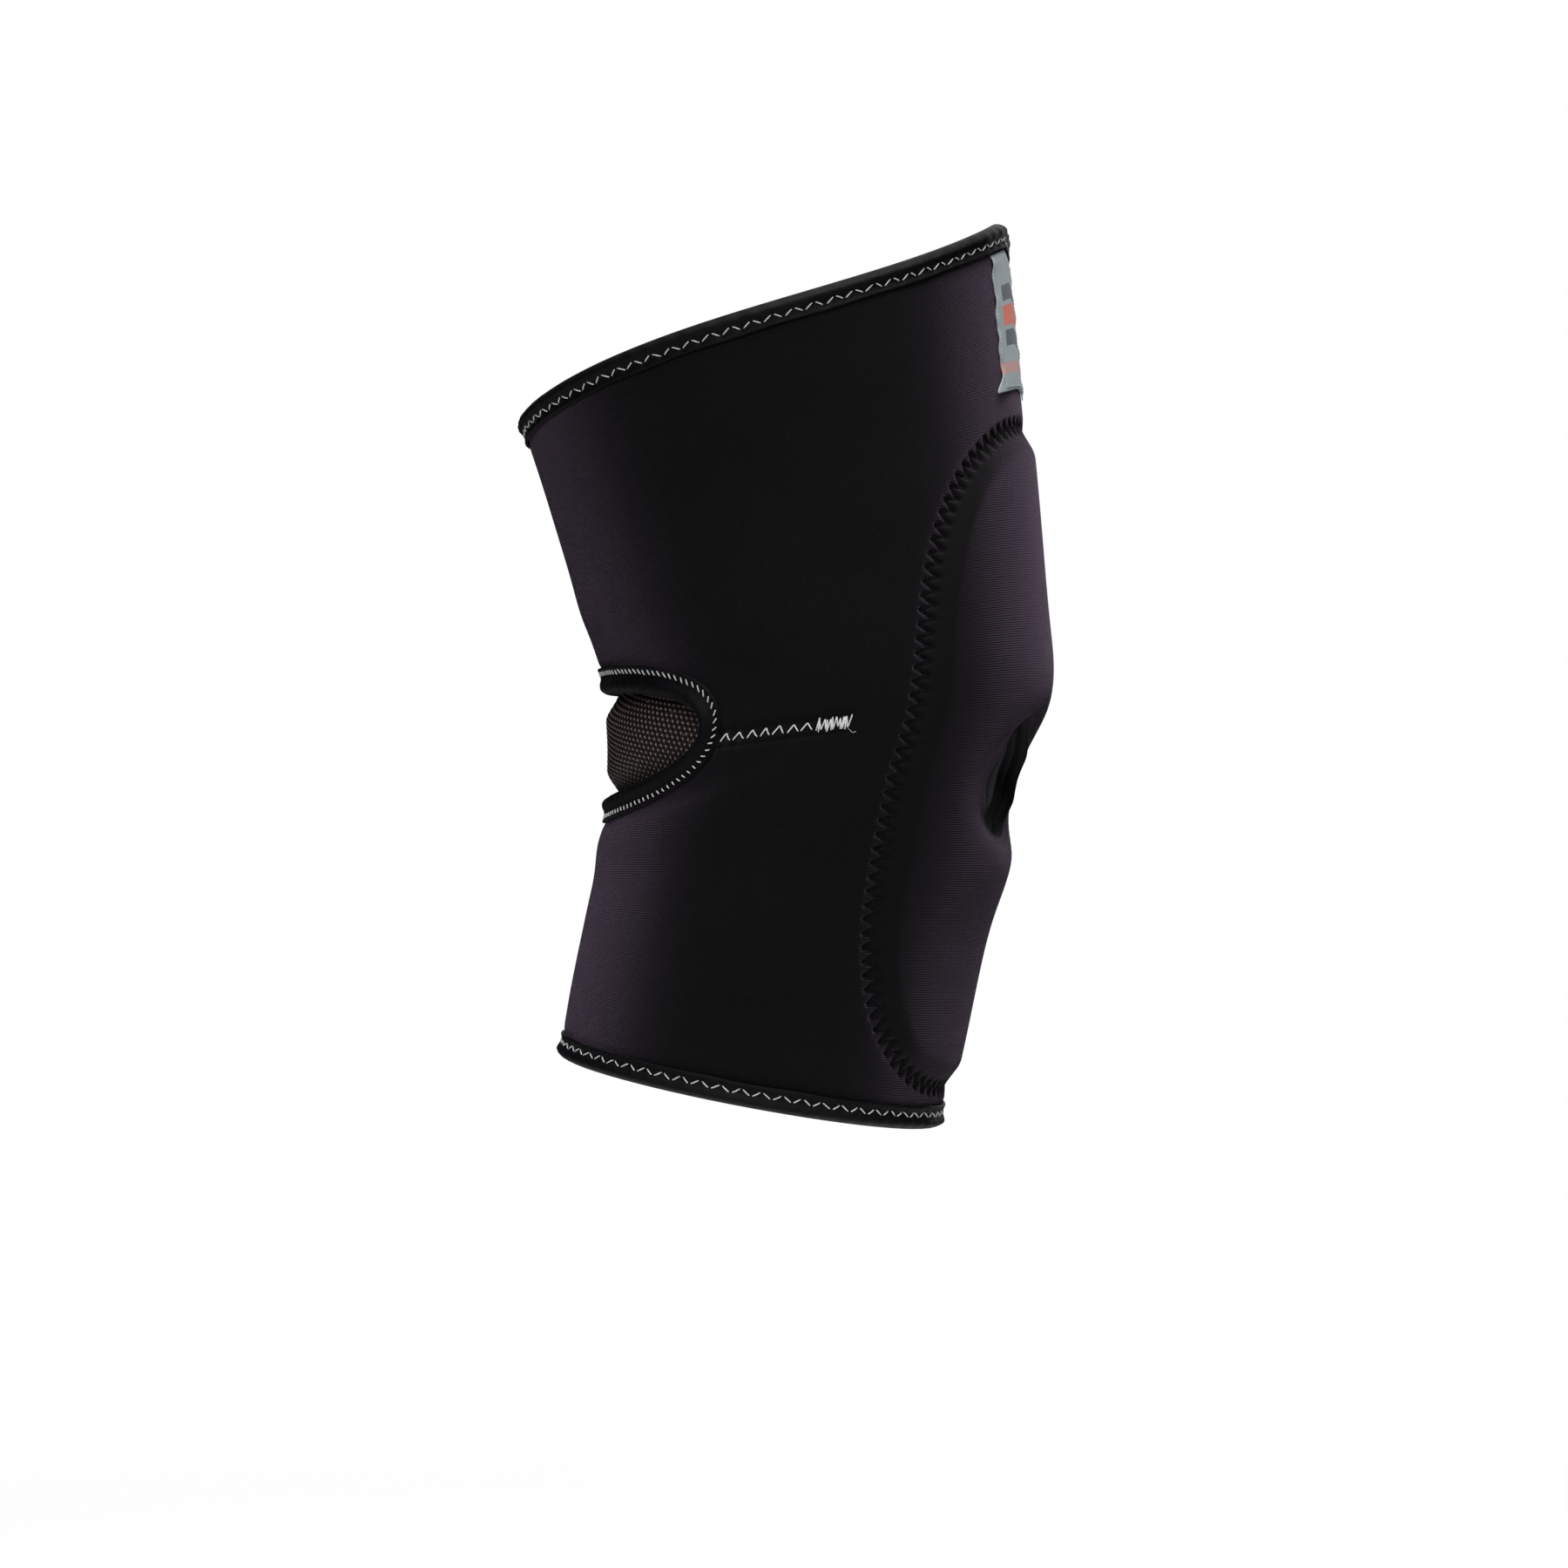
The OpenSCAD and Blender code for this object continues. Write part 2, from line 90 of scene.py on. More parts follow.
make_camera()

# ---------------------------------------------------------------- the sleeve's surface

FRONT_Z = (-118, 158)
BACK_Z = (-96, 98)
FRONT_LENGTH = FRONT_Z[1] - FRONT_Z[0]
BACK_LENGTH = BACK_Z[1] - BACK_Z[0]
SIDE_LENGTH = (FRONT_LENGTH + BACK_LENGTH) / 2
FRONT_X = ((-0.15, 40), (0, 46.5), (0.09, 52.3), (0.2, 58.8), (0.3, 66.2), (0.4, 73.5), (0.455, 76.5),
           (0.5, 79.3), (0.55, 79.3), (0.65, 76.9), (0.75, 74.2), (0.8, 72.6), (0.9, 70.2), (1, 67.3),
           (1.15, 63))
BACK_X = ((-0.15, -76), (0, -71.5), (0.1, -68), (0.2, -63.9), (0.3, -59.9), (0.37, -57.2), (0.48, -56),
          (0.58, -57.5), (0.62, -59.5), (0.7, -64.8), (0.8, -70.4), (0.9, -76.6), (1, -83.5), (1.15, -93.5))
HALF_Y = ((-0.15, 50.5), (0, 53), (0.2, 57), (0.35, 61), (0.5, 63.3), (0.65, 63.8), (0.8, 66), (1, 71),
          (1.15, 75))
FINE_STEP = 0.001
FINE_V = np.arange(-0.2, 1.2, FINE_STEP)
CORNER_ROUNDING = 0.029
TOP_DIP = 8.2
MM_PER_DEG = 1.134
DEG_PER_MM = 0.88
SLEEVE_T = 4.0
FABRIC_T = 0.45


def rounded_profile(points):
    """A profile sampled at FINE_V, its corners rounded by a Gaussian."""
    knots_lifted_and_highlighted, values = zip(*points)
    reach = np.arange(-100, 101)
    weight = np.exp(-0.5 * (reach * FINE_STEP / CORNER_ROUNDING) ** 2)
    raw = np.pad(np.interp(FINE_V, knots_lifted_and_highlighted, values), 100, mode="edge")
    return np.convolve(raw, weight / weight.sum(), "valid")


FRONT, BACK, WIDTH = (rounded_profile(p) for p in (FRONT_X, BACK_X, HALF_Y))


def wrap(u):
    """The same angle, from -180 to 180."""
    return (u + 180) % 360 - 180


def mix(a, b, t):
    return a + (b - a) * t


def smooth(x, lo=0.0, hi=1.0):
    t = np.clip((x - lo) / (hi - lo), 0, 1)
    return t * t * (3 - 2 * t)


def bell(x, width):
    return np.exp(-((x / width) ** 2))


def skin(u, v):
    fx, bx, hy = (np.interp(v, FINE_V, p) for p in (FRONT, BACK, WIDTH))
    fz, bz = mix(*FRONT_Z, v), mix(*BACK_Z, v)
    c, s = np.cos(np.radians(u)), np.sin(np.radians(u))
    dip = TOP_DIP * np.abs(s) * (1 + c) ** 1.6 / 1.69 * smooth(v, 0.7, 1)
    return np.stack(((fx + bx) / 2 + (fx - bx) / 2 * c, -hy * s, (fz + bz) / 2 + (fz - bz) / 2 * c - dip), -1)


def unit(a):
    return a / np.maximum(np.linalg.norm(a, axis=-1, keepdims=True), 1e-12)


def outward(u, v):
    return unit(np.cross(skin(u, v + 0.004) - skin(u, v - 0.004), skin(u + 0.5, v) - skin(u - 0.5, v)))


def at(u, v, h):
    """Points at height h over the surface."""
    u, v, h = np.broadcast_arrays(np.asarray(u, float), np.asarray(v, float), np.asarray(h, float))
    return skin(u, v) + outward(u, v) * h[..., None]


def span_at(u):
    """Millimetres of sleeve per unit of v."""
    return SIDE_LENGTH + (FRONT_LENGTH - BACK_LENGTH) / 2 * np.cos(np.radians(u))


# ---------------------------------------------------------------- openings and outlines

HOLE_V, HOLE_HALF_V, HOLE_HALF_U = 0.388, 0.068, 25.0
HOLE_N_TOP, HOLE_N_BOTTOM = 1.45, 2.0
VENT_V, VENT_HALF_V, VENT_HALF_U, VENT_N = 0.487, 0.085, 68.0, 2.2
VENT_SCALE = 200  # millimetres per unit of v, roughly, at the back
PAD_V, PAD_HALF_V = 0.41, 0.368
PAD_HALF_U_TOP, PAD_HALF_U_BOTTOM = 53.4, 55.6
PAD_N_TOP, PAD_N_BOTTOM = 2.6, 3.0


def signed_power(x, n):
    return np.sign(x) * np.abs(x) ** n


def hole_share(u, v):
    """Below 1 inside the kneecap hole."""
    a, b = np.abs(u) / HOLE_HALF_U, (v - HOLE_V) / HOLE_HALF_V
    n = np.where(b > 0, HOLE_N_TOP, HOLE_N_BOTTOM)
    return (a ** n + np.abs(b) ** n) ** (1 / n)


def vent_share(u, v):
    """Below 1 inside the vent."""
    a, b = (180 - np.abs(u)) / VENT_HALF_U, (v - VENT_V) / VENT_HALF_V
    return (np.abs(a) ** VENT_N + np.abs(b) ** VENT_N) ** (1 / VENT_N)


def past_vent(u, v):
    """Roughly how many millimetres a place lies out from the vent's edge."""
    return (vent_share(u, v) - 1) * VENT_HALF_V * VENT_SCALE


def hole_outline(t):
    """t in degrees, 0 at the near side and 90 at the top."""
    c, s = np.cos(np.radians(t)), np.sin(np.radians(t))
    n = np.where(s > 0, HOLE_N_TOP, HOLE_N_BOTTOM)
    return HOLE_HALF_U * signed_power(c, 2 / n), HOLE_V + HOLE_HALF_V * signed_power(s, 2 / n)


def vent_outline(t, grow=0.0):
    """grow widens the outline by that many millimetres. u runs on past 180 to the far side."""
    c, s = np.cos(np.radians(t)), np.sin(np.radians(t))
    u = 180 - (VENT_HALF_U + grow * DEG_PER_MM) * signed_power(c, 2 / VENT_N)
    return u, VENT_V + (VENT_HALF_V + grow / span_at(180)) * signed_power(s, 2 / VENT_N)


def pad_outline(t, grow=0.0):
    c, s = np.cos(np.radians(t)), np.sin(np.radians(t))
    n = np.where(s > 0, PAD_N_TOP, PAD_N_BOTTOM)
    v = PAD_V + (PAD_HALF_V + grow / span_at(0)) * signed_power(s, 2 / n)
    half_u = mix(PAD_HALF_U_BOTTOM, PAD_HALF_U_TOP, smooth(v, 0.39, 0.47)) + grow * DEG_PER_MM
    return half_u * signed_power(c, 2 / n), v


class Line:
    """A line on the surface, sampled evenly, with its length and the distance of any place from it."""

    def __init__(self, outline, t0, t1, count, closed=True):
        t = np.linspace(t0, t1, 12001)
        u, v = outline(t)
        points = skin(u, v)
        s = np.concatenate(([0], np.cumsum(np.linalg.norm(np.diff(points, axis=0), axis=1))))
        self.length, self.closed, self.count = s[-1], closed, count
        even = np.linspace(0, self.length, count, endpoint=not closed)
        self.s, self.u, self.v = even, np.interp(even, s, u), np.interp(even, s, v)
        self.points = skin(self.u, self.v)
        self.up = outward(self.u, self.v)
        ahead = np.roll(self.points, -1, 0) - np.roll(self.points, 1, 0) if closed \
            else np.gradient(self.points, axis=0)
        self.along = unit(ahead)
        self.side = unit(np.cross(self.along, self.up))
        self.tree = kdtree.KDTree(count)
        for i, p in enumerate(self.points):
            self.tree.insert(p, i)
        self.tree.balance()

    def measure(self, points):
        """Distance along the line and out to its side, for each point."""
        near = np.array([self.tree.find(p)[1] for p in points], int)
        off = points - self.points[near]
        return self.s[near] + (off * self.along[near]).sum(1), (off * self.side[near]).sum(1)

    def place(self, s, d, h):
        """Points s along the line, d to its side and h over the surface."""
        s, d, h = np.broadcast_arrays(np.asarray(s, float), np.asarray(d, float), np.asarray(h, float))
        i = s / self.length * (self.count if self.closed else self.count - 1)
        lo = np.floor(i).astype(int)
        f = (i - lo)[..., None]
        a, b = (lo % self.count, (lo + 1) % self.count) if self.closed \
            else (np.clip(lo, 0, self.count - 1), np.clip(lo + 1, 0, self.count - 1))
        base, side, up = (mix(x[a], x[b], f) for x in (self.points, self.side, self.up))
        return base + side * d[..., None] + up * h[..., None]


# The pad's outline, from the middle of its top and round by the near side; d grows towards the outside.
pad_line = Line(lambda t: pad_outline(90 - t), 0, 360, 4000)
NEAR_SIDE = pad_line.count // 4
PAD_SIDE = 1 if pad_line.side[NEAR_SIDE] @ (skin(60, PAD_V) - skin(50, PAD_V)) > 0 else -1
PAD_STITCHES = round(pad_line.length / 4.3)
PAD_PITCH = pad_line.length / PAD_STITCHES
PAD_ZIGZAG = 3.9

DART_V, DART_U0, DART_U1, TACK_U1 = 0.466, 106.5, 80.0, 70.5
DART_PITCH = 4.2


def leg_distance(s, d, pitch, width):
    """Distance from a zigzag's nearest leg and from its nearest needle hole."""
    half = pitch / 2
    k = np.floor(s / half)
    x = s - k * half
    y = np.where(k % 2 == 0, d, -d)
    ax, ay = half, width
    t = np.clip((x * ax + (y + width / 2) * ay) / (ax * ax + ay * ay), 0, 1)
    leg = np.hypot(x - t * ax, y + width / 2 - t * ay)
    hole = np.minimum(np.hypot(x, y + width / 2), np.hypot(x - half, y - width / 2))
    return leg, hole


# ---------------------------------------------------------------- shape of the face fabric

PAD_RISE = 2.5
VENT_PULL = 1.1


def vent_pull(d):
    """How far the taut tape draws the sleeve in, d mm out from the vent."""
    return -VENT_PULL * (1 - smooth(d, 0, 15))


def near_pad(u, v, band=14):
    """Which places lie within some millimetres of the pad's outline."""
    def share(grow):
        a = np.abs(u) / (mix(PAD_HALF_U_BOTTOM, PAD_HALF_U_TOP, smooth(v, 0.39, 0.47)) + grow * DEG_PER_MM)
        b = np.abs(v - PAD_V) / (PAD_HALF_V + grow / FRONT_LENGTH)
        n = np.where(v > PAD_V, PAD_N_TOP, PAD_N_BOTTOM)
        return a ** n + b ** n
    outer, inner = share(band), share(-band)
    return (outer < 1) & (inner > 1), inner <= 1


def bulge(u, v):
    """Height that the pad gives to the sleeve, and the place along and off its seam."""
    u = wrap(u)
    band, inside = near_pad(u, v)
    s, d = np.zeros(u.shape), np.full(u.shape, 99.0)
    s[band], d[band] = pad_line.measure(skin(u[band], v[band]))
    d[band] *= PAD_SIDE
    rise = np.where(inside, 1.0, 0.0)
    rise[band] = smooth(-d[band], -0.5, 9.0)
    return rise * PAD_RISE, s, d


def soft_shape(u, v):
    """Slow shape that the whole laminate follows: the pad, the kneecap hole's lips and the dart's fold."""
    rise, s, d = bulge(u, v)
    wrapped = wrap(u)
    lip = np.maximum(hole_share(wrapped, v) - 1, 0) * HOLE_HALF_U * MM_PER_DEG
    upright = smooth(np.abs(v - HOLE_V), 0.02, 0.06)
    full = 1.7 * bell(v - 0.49, 0.055) + 1.4 * bell(v - 0.285, 0.045)
    rise = rise + full * bell(wrapped, 34)
    rise = rise - (1.3 * bell(lip, 7.0) + 3.2 * upright * bell(lip, 4.2)) * (np.abs(wrapped) < 70)
    dart = (v - DART_V) * SIDE_LENGTH
    length = smooth(np.abs(wrapped), TACK_U1 - 7, TACK_U1 + 4) \
        * smooth(-np.abs(wrapped), -DART_U0 - 8, -DART_U0)
    rise = rise + length * (-0.55 * bell(dart - 0.4, 3.2)) + vent_pull(past_vent(wrapped, v))
    return rise, s, d


def creases(u, v):
    """Faint folds of the worn sleeve, in millimetres."""
    x, y = np.radians(u), v * SIDE_LENGTH
    slow = 0.28 * np.sin(3 * x + y / 31 + 0.7) * np.sin(y / 23 + 2 * np.cos(x))
    back = smooth(np.abs(wrap(u)), 95, 150)
    folds = back * 0.5 * np.sin(y / 5.2 + 1.3 * np.sin(2 * x)) * bell(v - 0.33, 0.06)
    folds += back * 0.4 * np.sin(y / 6.1 + np.cos(3 * x)) * bell(v - 0.66, 0.07)
    wrapped = wrap(u)
    diagonal = (v - 0.062) * SIDE_LENGTH - (wrapped - 92) * 0.32
    crease = -0.45 * bell(diagonal, 1.3) * bell(wrapped - 92, 13)
    return slow + folds + crease


def fabric_relief(u, v):
    """Height of the face fabric's outside."""
    rise, s, d = soft_shape(u, v)
    leg, hole = leg_distance(s, d, PAD_PITCH, PAD_ZIGZAG)
    seam = -0.62 * bell(d, 3.0) - 1.05 * bell(leg, 0.66) * (np.abs(d) < 4) - 0.7 * bell(hole, 0.8)
    seam = seam - 0.2 * bell(d + 4.2, 2.2)
    wrapped = wrap(u)
    along = (DART_U0 - np.abs(wrapped)) / DEG_PER_MM
    dart = (v - DART_V) * span_at(u)
    end = (DART_U0 - TACK_U1) / DEG_PER_MM
    length = smooth(along, -1.5, 0.5) * smooth(-along, -end - 2, -end + 1.5)
    pucker = 0.25 * np.cos(2 * np.pi * along / DART_PITCH) * bell(dart, 2.6)
    lap = -0.5 * bell(dart - 2.3, 0.9) - 0.45 * bell(dart + 2.5, 0.7) \
        + 0.35 * smooth(-dart, -2.0, 2.5) * bell(dart, 5)
    edge = np.minimum(v, 1 - v) * span_at(u)
    under_tape = -0.5 * (1 - smooth(edge, 5.6, 8.4)) - 0.9 * (1 - smooth(edge, 0.5, 3.2))
    off_vent = past_vent(wrapped, v)
    under_tape = under_tape - 0.5 * (1 - smooth(off_vent, 6.5, 9.5)) - 0.6 * (1 - smooth(off_vent, 0.3, 2.6))
    back_seam = -0.55 * bell((180 - np.abs(wrapped)) * MM_PER_DEG, 2.4) * (off_vent > 0)
    return rise + seam + length * (lap + pucker) + under_tape + back_seam + creases(u, v)


def core_relief(u, v):
    """Heights of the foam's outside, a little lower under the sewing, and of the slow shape by itself."""
    rise, _, d = soft_shape(u, v)
    edge = np.minimum(v, 1 - v) * span_at(u)
    wrapped = wrap(u)
    off_vent = past_vent(wrapped, v)
    by_dart = np.abs(wrapped) > TACK_U1 - 3
    squeezed = 1.5 * bell(d, 3.6) + 0.9 * bell((v - DART_V) * SIDE_LENGTH, 4) * by_dart
    squeezed = squeezed + 1.2 * (1 - smooth(edge, 1, 5)) + 1.0 * (1 - smooth(off_vent, 0.5, 4))
    squeezed = squeezed + 0.6 * bell((180 - np.abs(wrapped)) * MM_PER_DEG, 3.2)
    return rise - squeezed + creases(u, v), rise + creases(u, v)


# ---------------------------------------------------------------- meshes


def build(name, points, polygons, uvs=None):
    """A mesh object from points in millimetres. uvs holds one pair for each corner, in metres."""
    mesh = bpy.data.meshes.new(name)
    counts = np.array([len(p) for p in polygons])
    loops = np.concatenate([np.asarray(p) for p in polygons])
    mesh.vertices.add(len(points))
    mesh.vertices.foreach_set("co", (np.asarray(points) * MM).astype(np.float32).ravel())
    mesh.loops.add(len(loops))
    mesh.loops.foreach_set("vertex_index", loops.astype(np.int32))
    mesh.polygons.add(len(counts))
    mesh.polygons.foreach_set("loop_start", np.concatenate(([0], np.cumsum(counts)[:-1])).astype(np.int32))
    mesh.update(calc_edges=True)
    mesh.validate()
    if uvs is not None:
        layer = mesh.uv_layers.new(name="UVMap")
        layer.data.foreach_set("uv", np.asarray(uvs, np.float32).ravel())
    mesh.polygons.foreach_set("use_smooth", np.ones(len(counts), bool))
    piece = bpy.data.objects.new(name, mesh)
    add_to_scene(piece)
    return piece


def finish_piece(piece, material, nodes, body=None):
    """Material, slot and the CAD nodes it stands for; it rides on a body, or has its transform baked in."""
    piece.data.materials.append(material)
    if body:
        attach(piece, body)
    else:
        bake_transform(piece)
    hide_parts(*nodes)


class Cloth:
    """The sleeve's pattern in cells that are finer where there is sewing, with both openings cut out."""

    def __init__(self, nu, nv, fine, margin):
        """fine(u, v) gives each cell 1, 2 or 4 parts a side. margin is the strip left out at each edge."""
        self.nu = nu
        cu = (np.arange(nu) + 0.5) / nu * 360 - 180
        cv = (np.arange(nv) + 0.5) / nv
        parts = fine(*np.meshgrid(cu, cv, indexing="ij"))
        used = np.zeros((4 * nu, 4 * nv + 1), bool)
        for k in (1, 2, 4):
            i, j = np.nonzero(parts == k)
            for a in range(k + 1):
                for b in range(k + 1):
                    used[(4 * i + a * 4 // k) % (4 * nu), 4 * j + b * 4 // k] = True
        rings = []
        for k in (1, 2, 4):
            step = 4 // k
            i, j = np.nonzero(parts == k)
            sub = np.stack(np.meshgrid(np.arange(k), np.arange(k), indexing="ij"), -1).reshape(-1, 2)
            ci = (4 * i[:, None] + sub[:, 0] * step).ravel()
            cj = (4 * j[:, None] + sub[:, 1] * step).ravel()
            ring = [(m, 0) for m in range(step)] + [(step, m) for m in range(step)] \
                + [(step - m, step) for m in range(step)] + [(0, step - m) for m in range(step)]
            gi = ci[:, None] + np.array([r[0] for r in ring])
            gj = cj[:, None] + np.array([r[1] for r in ring])
            keep = used[gi % (4 * nu), gj]
            rings += [(a[m], b[m]) for a, b, m in zip(gi, gj, keep)]
        self.corners = rings
        lattice_u = np.arange(4 * nu) / (4 * nu) * 360 - 180
        lattice_v = np.arange(4 * nv + 1) / (4 * nv)
        u, v = (x.astype(float) for x in np.meshgrid(lattice_u, lattice_v, indexing="ij"))
        lo = margin / span_at(u)
        v = mix(lo, 1 - lo, v)
        self.trim(u, v)

    def trim(self, u, v):
        """Drops the cells inside the openings and moves the rim's corners onto their outlines."""
        cut = np.zeros(u.shape, np.int8)
        outer = np.zeros(u.shape, bool)
        faces = []
        wide = 4 * self.nu
        inside = np.minimum(hole_share(u, v), vent_share(u, v)) < 1
        for gi, gj in self.corners:
            wi = gi % wide
            away = 1 - inside[wi, gj].mean()
            if away > 0.5:
                faces.append((gi, gj))
                outer[wi, gj] = True
            else:
                cut[wi, gj] = 1
        rim = (outer & (cut == 1)) | (outer & inside)
        iu, iv = np.nonzero(rim)
        ru, rv = u[iu, iv], v[iu, iv]
        hole = np.abs(ru) < 70
        share = np.where(hole, hole_share(ru, rv), vent_share(ru, rv))
        side = np.where(ru < 0, -1, 1)
        u[iu, iv] = np.where(hole, ru / share, side * (180 - (180 - np.abs(ru)) / share))
        v[iu, iv] = np.where(hole, HOLE_V + (rv - HOLE_V) / share, VENT_V + (rv - VENT_V) / share)
        index = np.full(u.shape, -1)
        index[outer] = np.arange(outer.sum())
        self.u, self.v = u[outer], v[outer]
        self.faces = [index[gi % wide, gj] for gi, gj in faces]
        self.lap = [gi >= wide for gi, gj in faces]

    def shell(self, name, top, bottom):
        """A closed shell between two heights, given for each corner of the pattern."""
        n = len(self.u)
        outer, inner = at(self.u, self.v, top), at(self.u, self.v, bottom)
        down = [f[::-1] + n for f in self.faces]
        edges = dict.fromkeys((int(a), int(b)) for f in self.faces for a, b in zip(f, np.roll(f, -1)))
        rim = [(a, b) for a, b in edges if (b, a) not in edges]
        walls = [np.array([b, a, a + n, b + n]) for a, b in rim]
        sheet = self.faces + down + walls
        lap = self.lap + [l[::-1] for l in self.lap] + [np.zeros(4, bool)] * len(walls)
        ids = np.concatenate(sheet) % n
        over = np.concatenate(lap)
        uv = np.stack(((self.u[ids] + 360 * over) * MM_PER_DEG, self.v[ids] * SIDE_LENGTH), 1) * MM
        return build(name, np.concatenate((outer, inner)), sheet, uv)


def cell_fineness(u, v):
    """Parts a side for the face fabric's cells: four by the sewing and the hole, two a little further off."""
    band, inside = near_pad(u, v, 5.5)
    wide, _ = near_pad(u, v, 9.5)
    on_dart = (np.abs(v - DART_V) * SIDE_LENGTH < 5) & (np.abs(u) > TACK_U1 - 4) & (np.abs(u) < DART_U0 + 4)
    by_hole = np.abs(hole_share(u, v) - 1) < 0.16
    by_vent = np.abs(vent_share(u, v) - 1) < 0.10
    fine = np.where(wide | by_vent, 2, 1)
    return np.where(band | on_dart | by_hole, 4, fine)


def plain_fineness(u, v):
    """Parts a side for the foam's and the lining's cells."""
    by_hole = np.abs(hole_share(u, v) - 1) < 0.2
    return np.where(by_hole, 4, np.where(np.abs(vent_share(u, v) - 1) < 0.2, 2, 1))


# ---------------------------------------------------------------- materials


class Shader:
    """A material's node tree, with short calls for the nodes that the materials share."""

    def __init__(self, name, color, roughness, specular=0.5):
        self.material = bpy.data.materials.new(name)
        self.material.use_nodes = True
        self.tree = self.material.node_tree
        self.nodes, self.links = self.tree.nodes, self.tree.links
        self.bsdf = self.nodes["Principled BSDF"]
        self.bsdf.inputs["Base Color"].default_value = (*color, 1)
        self.bsdf.inputs["Roughness"].default_value = roughness
        self.bsdf.inputs["Specular IOR Level"].default_value = specular
        self.height = None

    def sheen(self, weight, roughness, tint):
        self.bsdf.inputs["Sheen Weight"].default_value = weight
        self.bsdf.inputs["Sheen Roughness"].default_value = roughness
        self.bsdf.inputs["Sheen Tint"].default_value = (*tint, 1)

    def put(self, socket, value):
        if hasattr(value, "is_linked"):
            self.links.new(value, socket)
        else:
            socket.default_value = value

    def math(self, operation, *values):
        node = self.nodes.new("ShaderNodeMath")
        node.operation = operation
        for socket, value in zip(node.inputs, values):
            self.put(socket, value)
        return node.outputs[0]

    def times(self, a, b):
        return self.math("MULTIPLY", a, b)

    def wave(self, value, period):
        return self.math("SINE", self.times(value, TAU / period))

    def coords(self, kind="Object"):
        return self.nodes.new("ShaderNodeTexCoord").outputs[kind]

    def split(self, vector):
        node = self.nodes.new("ShaderNodeSeparateXYZ")
        self.links.new(vector, node.inputs[0])
        return node.outputs

    def noise(self, scale, detail=2.0, coords=None, roughness=0.5):
        node = self.nodes.new("ShaderNodeTexNoise")
        node.inputs["Scale"].default_value = scale
        node.inputs["Detail"].default_value = detail
        node.inputs["Roughness"].default_value = roughness
        self.links.new(coords or self.coords(), node.inputs["Vector"])
        return node.outputs["Fac"]

    def cells(self, scale, coords=None):
        node = self.nodes.new("ShaderNodeTexVoronoi")
        node.inputs["Scale"].default_value = scale
        self.links.new(coords or self.coords(), node.inputs["Vector"])
        return node.outputs["Distance"]

    def ramp(self, value, *stops):
        node = self.nodes.new("ShaderNodeValToRGB")
        ramp = node.color_ramp
        while len(ramp.elements) < len(stops):
            ramp.elements.new(0.5)
        for element, (place, color) in zip(ramp.elements, stops):
            element.position = place
            element.color = (*color, 1)
        self.links.new(value, node.inputs[0])
        return node.outputs[0]

    def blend(self, share, a, b):
        node = self.nodes.new("ShaderNodeMix")
        node.data_type = "RGBA"
        self.put(node.inputs["Factor"], share)
        for socket, value in ((node.inputs[6], a), (node.inputs[7], b)):
            self.put(socket, value if hasattr(value, "is_linked") else (*value, 1))
        return node.outputs[2]

    def range(self, value, lo, hi):
        node = self.nodes.new("ShaderNodeMapRange")
        self.links.new(value, node.inputs["Value"])
        node.inputs["To Min"].default_value = lo
        node.inputs["To Max"].default_value = hi
        return node.outputs[0]

    def color(self, value):
        self.links.new(value, self.bsdf.inputs["Base Color"])

    def roughness(self, value):
        self.links.new(value, self.bsdf.inputs["Roughness"])

    def bump(self, height, distance, strength=1.0):
        """Adds a layer of bump over the ones before it. Distances are metres."""
        node = self.nodes.new("ShaderNodeBump")
        node.inputs["Strength"].default_value = strength
        node.inputs["Distance"].default_value = distance
        self.links.new(height, node.inputs["Height"])
        if self.height is not None:
            self.links.new(self.height, node.inputs["Normal"])
        self.height = node.outputs[0]
        self.links.new(self.height, self.bsdf.inputs["Normal"])


def knit_height(shader, wale, course):
    """Stockinette loops from the UV map: columns of V shapes, wale wide and course high, in metres."""
    x, y, _ = shader.split(shader.coords("UV"))
    column = shader.times(x, 1 / wale)
    across = shader.math("PINGPONG", column, 0.5)
    slant = shader.times(across, 1.3)
    row = shader.math("ADD", shader.times(y, 1 / course), slant)
    rib = shader.math("ABSOLUTE", shader.wave(column, 1))
    return shader.math("ADD", shader.times(shader.wave(row, 1), 0.45), shader.times(rib, 0.8))


def jersey(name, dark, light, tint, wale=0.00045, course=0.0006):
    """Knitted nylon on neoprene: fine loops, a soft sheen and slow changes of tone."""
    m = Shader(name, dark, 0.85, 0.1)
    m.sheen(0.18, 0.25, tint)
    worn = m.noise(28, 5, roughness=0.6)
    fibre = m.noise(1900, 3)
    m.color(m.blend(m.times(worn, m.range(fibre, 0.4, 1.3)), dark, light))
    m.roughness(m.range(m.noise(60, 3), 0.76, 0.92))
    m.bump(m.noise(210, 3, roughness=0.6), 0.00012, 0.35)
    m.bump(knit_height(m, wale, course), 0.00009, 0.8)
    return m.material


def foam():
    """The cut edge of closed-cell neoprene."""
    m = Shader("neoprene_foam", (0.008, 0.0075, 0.0085), 0.86, 0.1)
    m.color(m.blend(m.cells(3600), (0.011, 0.0102, 0.0112), (0.005, 0.0046, 0.0052)))
    m.bump(m.cells(3600), 0.0001, 0.8)
    m.bump(m.noise(500, 3), 0.0002, 0.4)
    return m.material


